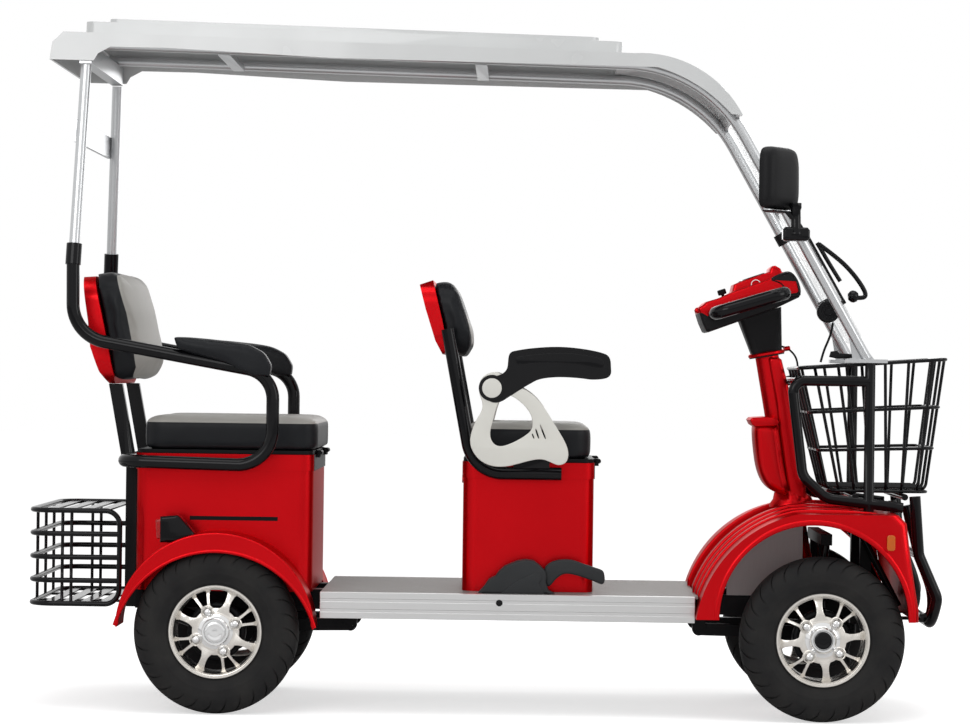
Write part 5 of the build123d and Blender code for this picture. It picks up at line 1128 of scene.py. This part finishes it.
def lofted(name, loops, middle, facing):
    """A closed skin through rounded loops, which stand across the way that facing looks."""
    out = Vector(facing).normalized()
    up = Vector((0, 0, 1))
    across = up.cross(out)
    skin = bmesh.new()
    rows = []
    for depth, half_w, half_h, corner in loops:
        row = []
        for step in range(LOOP_POINTS):
            angle = math.tau * step / LOOP_POINTS
            c, s = math.cos(angle), math.sin(angle)
            wide = math.copysign(abs(c) ** corner, c) * half_w * (1 - TAPER * s)
            tall = math.copysign(abs(s) ** corner, s) * half_h
            row.append(skin.verts.new((Vector(middle) + across * wide + up * tall + out * depth) * MM))
        rows.append(row)
    for here, there in zip(rows, rows[1:]):
        for i in range(LOOP_POINTS):
            after = (i + 1) % LOOP_POINTS
            skin.faces.new((here[i], here[after], there[after], there[i]))
    skin.faces.new(rows[0])
    skin.faces.new(list(reversed(rows[-1])))
    return skin_mesh(name, skin)


HEADS = {"right": ((704, -350, 1332), (-0.809, 0.588, 0)), "left": ((750, 332, 1372), (-0.99, -0.139, 0))}
for place, head_place in HEADS.items():
    shell, glass = "mirror_shell_" + place, "mirror_glass_" + place
    piece(shell, lofted(shell, SHELL_LOOPS, *head_place), PLASTIC, *TRIM, 50)
    piece(glass, lofted(glass, GLASS_LOOPS, *head_place), MIRROR, *TRIM, 40)
print("mirror heads made")

# %% Mirror stems, cut where the heads begin
stems = bmesh.new()
for side, cut in ((-1, 1252), (1, 1296)):
    half = bmesh.new()
    half.from_mesh(islands("mirrors", lambda spot: spot.y * side > 0))
    bmesh.ops.bisect_plane(half, geom=half.verts[:] + half.edges[:] + half.faces[:],
        plane_co=(0, 0, cut * MM), plane_no=(0, 0, 1), clear_outer=True)
    bmesh.ops.holes_fill(half, edges=[edge for edge in half.edges if edge.is_boundary])
    kept = bpy.data.meshes.new("stem")
    half.to_mesh(kept)
    half.free()
    stems.from_mesh(kept)
stem_mesh = skin_mesh("mirror_stems", stems)
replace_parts(piece("mirror_stems", stem_mesh, PLASTIC, *TRIM, 35), "mirrors")
turned("mirror_post_right", [(0, 0), (15, 0), (16, 4), (15, 10), (12.5, 14), (12.5, 62), (15, 68),
    (15, 80), (0, 80)], (744, -345, 1192), (-0.03, 0, 1), BLACK_GLOSS, *TRIM)
plate("mirror_clamp_right", [[(712, 1184), (718, 1180), (770, 1180), (778, 1186), (778, 1206),
    (772, 1213), (718, 1214), (712, 1208)]], -332, 46, 8, BLACK_GLOSS, *TRIM, 2)
print("mirrors made")

# %% Wiper arm and motor knob
WIPER_OUT = 90
rod("wiper_arm", [(824, -WIPER_OUT, 1184), (873, -WIPER_OUT, 1149), (911, -WIPER_OUT, 1112),
    (940, -WIPER_OUT, 1072), (946, -WIPER_OUT, 1052), (930, -WIPER_OUT, 1048), (906, -WIPER_OUT, 1050)],
    6, BLACK_GLOSS, *TRIM)
turned("wiper_knob", [(0, 0), (8, 1), (14, 7), (16, 14), (14, 21), (8, 27), (0, 28)],
    (899, -WIPER_OUT, 1051), (1, 0, 0.1), BLACK_GLOSS, *TRIM)
rod("wiper_blade", [(820, -WIPER_OUT, 1187), (847, -WIPER_OUT, 1142), (862, -WIPER_OUT, 1118),
    (880, -WIPER_OUT, 1090)], 5.5, BLACK_GLOSS, *TRIM)
turned("wiper_motor", [(0, 0), (27, 0), (28, 3), (28, 24), (25, 28), (19, 28), (18, 25), (10, 25),
    (9, 29), (0, 29)], (846, -118, 1012), (0, -1, 0), PLASTIC, *TRIM)
print("wiper made")

# %% [markdown]
# ## Ribs, flanges and the front tube
# The cowl is drawn over with raised ribs that run up the foot slope and along the top, and each
# wheel arch ends in a rolled flange. They catch the lines of light that make the panel read as
# pressed sheet, so each is its own sweep along the CAD's curve.

# %% Ribs on the cowl
AXLE_X, AXLE_Z, COWL_R, COWL_TOP, ARCH_R = 824, 203, 316, 512, 231


def rib_outline(height):
    """A band that follows the cowl's foot slope and its top, sunk 4 mm into it."""
    outer, inner = [], []
    for step in range(31):
        angle = math.radians(14 + 64 * step / 30)
        grown = height * min(1, step / 3)
        for line, radius in ((outer, COWL_R + grown), (inner, COWL_R - 4)):
            line.append((AXLE_X - radius * math.cos(angle), AXLE_Z + radius * math.sin(angle)))
    crest = outer[-1][1]
    outer += [(AXLE_X - 30, crest + 3), (AXLE_X + 60, crest + 2), (AXLE_X + 130, crest - height * 0.6),
        (AXLE_X + 165, COWL_TOP - 3)]
    return outer + list(reversed(inner))


# Distance from the middle, height and width of each rib
for out, height, width in ((232, 5, 44), (172, 9, 40), (118, 14, 36)):
    for place, side in SIDES.items():
        plate("cowl_rib_%d_%s" % (out, place), [rib_outline(height)], side * out, width, 4, RED,
              *COWL_RED, 2)


def arc(centre, radius, first, last, y, count=36):
    """Places on an arc in the side view, from one angle to another in degrees."""
    turns = [math.radians(first + (last - first) * k / count) for k in range(count + 1)]
    return [(centre[0] + radius * math.cos(turn), y, centre[1] + radius * math.sin(turn))
            for turn in turns]


for place, side in SIDES.items():
    rod("arch_flange_" + place, arc((799, 254.5), ARCH_R + 7, 0, 180, side * 350), 8, RED, *COWL_RED)
    rod("fender_rim_" + place, arc((-666, 203), 241, 4, 176, side * 351), 4.5, RED, *FENDER_RED)
    rod("fender_flange_" + place, arc((-666, 147.3), 255, 16, 164, side * 352), 5, RED, *FENDER_RED)
print("ribs and flanges made")

# %% Front tube
TUBE_OUT, STRUT_OUT = 150, 142
TUBE = [(1046, 529), (1054, 490), (1064, 461), (1078, 399), (1097, 357), (1111, 316), (1114, 274),
    (1106, 245), (1083, 248)]
STRUT = [(928, 470), (954, 418), (1030, 276)]
for place, side in SIDES.items():
    rod("front_tube_" + place, [(x, side * TUBE_OUT, z) for x, z in TUBE], 12, BLACK_GLOSS,
        body_of["bumper"], "black_steel")
    rod("cowl_strut_" + place, [(x, side * STRUT_OUT, z) for x, z in STRUT], 9, BLACK_GLOSS,
        body_of["front_cowl"], "black_steel")
print("front tube made")

# %% Cables by the column
rod("throttle_wire", [(735, 64, 926), (752, 64, 925), (768, 62, 917), (784, 58, 899), (789, 50, 874),
    (787, 34, 850)], 2.6, PLASTIC, *TRIM)
rod("wiper_wire", [(862, -100, 985), (858, -100, 960), (850, -100, 938), (839, -100, 913),
    (832, -100, 885)], 3, PLASTIC, *TRIM)
plate("basket_latch", [[(846, 898), (850, 912), (866, 914), (872, 908), (905, 906), (905, 896),
    (866, 894)]], -170, 14, 4, PLASTIC, *TRIM, 2)
print("cables made")

# %% [markdown]
# ## Basket floor, stripe and fasteners
# The basket's floor is a fine welded mesh. Bolts and screws are one small part, copied onto marked
# places: each place is a point with a direction, and one Geometry Nodes tree puts a bolt on each.

# %% Bolts on marked places
bolts = Recipe("fasteners_on_marks", {"Part": "Object", "Marks": "Object", "Finish": "Material"})
aim = bolts.node("GeometryNodeInputNamedAttribute", {"data_type": "FLOAT_VECTOR"}, {"Name": "aim"})[0]
bolts.end(bolts.node("GeometryNodeInstanceOnPoints", {}, {
    "Points": bolts.node("GeometryNodeObjectInfo", {}, {"Object": bolts.given["Marks"]})["Geometry"],
    "Instance": bolts.node("GeometryNodeObjectInfo", {}, {"Object": bolts.given["Part"]})["Geometry"],
    "Rotation": bolts.node("FunctionNodeAlignRotationToVector", {"axis": "Z"}, {"Vector": aim})[0],
})[0], False)

bolt_skin = bmesh.new()
for low, high, radius in ((-1.5, 1.2, 8.2), (1.2, 6.2, 5.4)):
    loops = []
    for z, r in ((low, radius), (high - 0.8, radius), (high, radius - 0.9)):
        sides = 20 if radius > 6 else 6
        loops.append([bolt_skin.verts.new((r * MM * math.cos(math.tau * k / sides),
            r * MM * math.sin(math.tau * k / sides), z * MM)) for k in range(sides)])
    for here, there in zip(loops, loops[1:]):
        for k in range(len(here)):
            after = (k + 1) % len(here)
            bolt_skin.faces.new((here[k], here[after], there[after], there[k]))
    bolt_skin.faces.new(list(reversed(loops[0])))
    bolt_skin.faces.new(loops[-1])
bolt = pattern_part("hex_bolt", skin_mesh("hex_bolt", bolt_skin))


def bolted(name, places, material, body, slot):
    """places: (x, y, z, aim) in millimetres."""
    marks = bpy.data.meshes.new(name)
    marks.from_pydata([Vector(place[:3]) * MM for place in places], [], [])
    aims = marks.attributes.new("aim", "FLOAT_VECTOR", "POINT")
    for i, place in enumerate(places):
        aims.data[i].vector = place[3]
    holder = pattern_part(name + "_marks", marks)
    return piece(name, bolts.grown(Part=bolt, Marks=holder, Finish=material), None, body, slot, 30)


rail_side = -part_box("deck_rails")[0][1] / MM
bolted("rail_bolts", [(30, side * rail_side, 281, (0, side, 0)) for side in SIDES.values()], PLASTIC,
    "scooter_body", "dark_steel")
print("rail bolts made")

# %% Stripe and basket floor
STRIPE = [(-743, 472), (-743, 482), (-524, 482), (-524, 472)]
BOX_SIDE = 231
for place, side in SIDES.items():
    skin = bmesh.new()
    corners = [[skin.verts.new(Vector((x, side * (BOX_SIDE + up), z)) * MM) for x, z in STRIPE]
               for up in (0.05, 0.5)]
    for k in range(4):
        skin.faces.new((corners[0][k], corners[0][(k + 1) % 4], corners[1][(k + 1) % 4], corners[1][k]))
    skin.faces.new(corners[0])
    skin.faces.new(corners[1])
    piece("box_stripe_" + place, skin_mesh("box_stripe", skin), BLACK_GLOSS, body_of["rear_box"],
        "black_plastic")
mesh_bars = bmesh.new()
FLOOR_Z = 572


def wire(skin, start, end, half=1.1):
    """A thin square wire between two places in millimetres."""
    a, b = Vector(start), Vector(end)
    along = (b - a).normalized()
    side = along.orthogonal().normalized() * half
    other = along.cross(side)
    rings = [[skin.verts.new((place + s * side + t * other) * MM)
              for s, t in ((1, 1), (-1, 1), (-1, -1), (1, -1))] for place in (a, b)]
    for k in range(4):
        skin.faces.new((rings[0][k], rings[0][(k + 1) % 4], rings[1][(k + 1) % 4], rings[1][k]))
    skin.faces.new(list(reversed(rings[0])))
    skin.faces.new(rings[1])


# Wires across the basket and along it: how many, the first one's place, and the step
ACROSS, ACROSS_FROM, ACROSS_STEP, HALF_FLOOR = 25, 858, 9.7, 146
ALONG, ALONG_FROM, ALONG_STEP = 30, -144, 9.93
FLOOR_REAR, FLOOR_FRONT, WIRE_LIFT = 856, 1093, 1.5
for i in range(ACROSS):
    x = ACROSS_FROM + i * ACROSS_STEP
    wire(mesh_bars, (x, -HALF_FLOOR, FLOOR_Z), (x, HALF_FLOOR, FLOOR_Z))
for i in range(ALONG):
    y = ALONG_FROM + i * ALONG_STEP
    wire(mesh_bars, (FLOOR_REAR, y, FLOOR_Z + WIRE_LIFT), (FLOOR_FRONT, y, FLOOR_Z + WIRE_LIFT))
piece("basket_mesh", skin_mesh("basket_mesh", mesh_bars), PLASTIC, body_of["front_basket"],
    "black_plastic")
print("stripe and basket floor made")

# %% [markdown]
# ## Light, floor and background
# Glossy paint and chrome show what is around them, so the studio is a pale room: a white world
# for the camera and for reflections, a dimmer one for the light itself, one broad lamp above and
# three round the sides. The floor is white to the camera and keeps the soft shadow.

# %% World
LIT, SHOWN = 0.55, 1.0
world = bpy.data.worlds.new("studio")
bpy.context.scene.world = world
world.use_nodes = True
sky = world.node_tree
sky.nodes.clear()
ray = sky.nodes.new("ShaderNodeLightPath")
seen = sky.nodes.new("ShaderNodeMath")
seen.operation = "MAXIMUM"
through = sky.nodes.new("ShaderNodeMath")
through.operation = "MAXIMUM"
sky.links.new(ray.outputs["Is Camera Ray"], seen.inputs[0])
sky.links.new(ray.outputs["Is Glossy Ray"], through.inputs[0])
sky.links.new(ray.outputs["Is Transmission Ray"], through.inputs[1])
sky.links.new(through.outputs[0], seen.inputs[1])
lit = sky.nodes.new("ShaderNodeBackground")
lit.inputs["Strength"].default_value = LIT
shown = sky.nodes.new("ShaderNodeBackground")
shown.inputs["Strength"].default_value = SHOWN
either = sky.nodes.new("ShaderNodeMixShader")
world_out = sky.nodes.new("ShaderNodeOutputWorld")
sky.links.new(seen.outputs[0], either.inputs[0])
sky.links.new(lit.outputs[0], either.inputs[1])
sky.links.new(shown.outputs[0], either.inputs[2])
sky.links.new(either.outputs[0], world_out.inputs[0])
for plain_light in (lit, shown):
    plain_light.inputs["Color"].default_value = (1, 1, 1, 1)
print("world made")


# %% Lamps
def soft_lamp(name, place, aim, size, watts):
    """A broad area lamp at a place, turned to what it lights."""
    data = bpy.data.lights.new(name, "AREA")
    data.shape = "RECTANGLE"
    data.size, data.size_y = size
    data.energy = watts
    lamp = bpy.data.objects.new(name, data)
    lamp.location = place
    lamp.rotation_euler = (Vector(aim) - Vector(place)).to_track_quat("-Z", "Y").to_euler()
    bpy.context.scene.collection.objects.link(lamp)


MIDDLE = (0.0, 0.0, 0.8)
soft_lamp("top_light", (0.2, -0.6, 4.2), MIDDLE, (4.0, 3.0), 70)
soft_lamp("right_light", (-1.8, -4.2, 2.4), MIDDLE, (2.6, 1.8), 45)
soft_lamp("front_light", (4.2, -2.0, 2.0), MIDDLE, (1.8, 2.2), 30)
soft_lamp("left_light", (1.0, 4.4, 2.2), MIDDLE, (2.6, 1.8), 25)
print("lamps made")

# %% Floor
FLOOR_REACH, FLOOR_GLOW = 30.0, 0.56
floor_mesh = bpy.data.meshes.new("floor")
floor_corners = [(x * FLOOR_REACH, y * FLOOR_REACH, 0) for x, y in ((-1, -1), (1, -1), (1, 1), (-1, 1))]
floor_mesh.from_pydata(floor_corners, [], [(0, 1, 2, 3)])
floor = bpy.data.objects.new("floor", floor_mesh)
bpy.context.scene.collection.objects.link(floor)
paper = bpy.data.materials.new("white_floor")
paper.use_nodes = True
sheet_tree = paper.node_tree
sheet_tree.nodes.clear()
matt = sheet_tree.nodes.new("ShaderNodeBsdfDiffuse")
matt.inputs["Color"].default_value = (0.82, 0.82, 0.82, 1)
glow = sheet_tree.nodes.new("ShaderNodeEmission")
glow.inputs["Color"].default_value = (1, 1, 1, 1)
glow.inputs["Strength"].default_value = FLOOR_GLOW
both = sheet_tree.nodes.new("ShaderNodeAddShader")
path = sheet_tree.nodes.new("ShaderNodeLightPath")
pick = sheet_tree.nodes.new("ShaderNodeMixShader")
paper_out = sheet_tree.nodes.new("ShaderNodeOutputMaterial")
sheet_tree.links.new(matt.outputs[0], both.inputs[0])
sheet_tree.links.new(glow.outputs[0], both.inputs[1])
sheet_tree.links.new(path.outputs["Is Camera Ray"], pick.inputs[0])
sheet_tree.links.new(matt.outputs[0], pick.inputs[1])
sheet_tree.links.new(both.outputs[0], pick.inputs[2])
sheet_tree.links.new(pick.outputs[0], paper_out.inputs["Surface"])
floor_mesh.materials.append(paper)
print("floor made")

# %% [markdown]
# ## The end
# Nothing here may change the object's size.

# %% The end
bpy.context.view_layer.update()
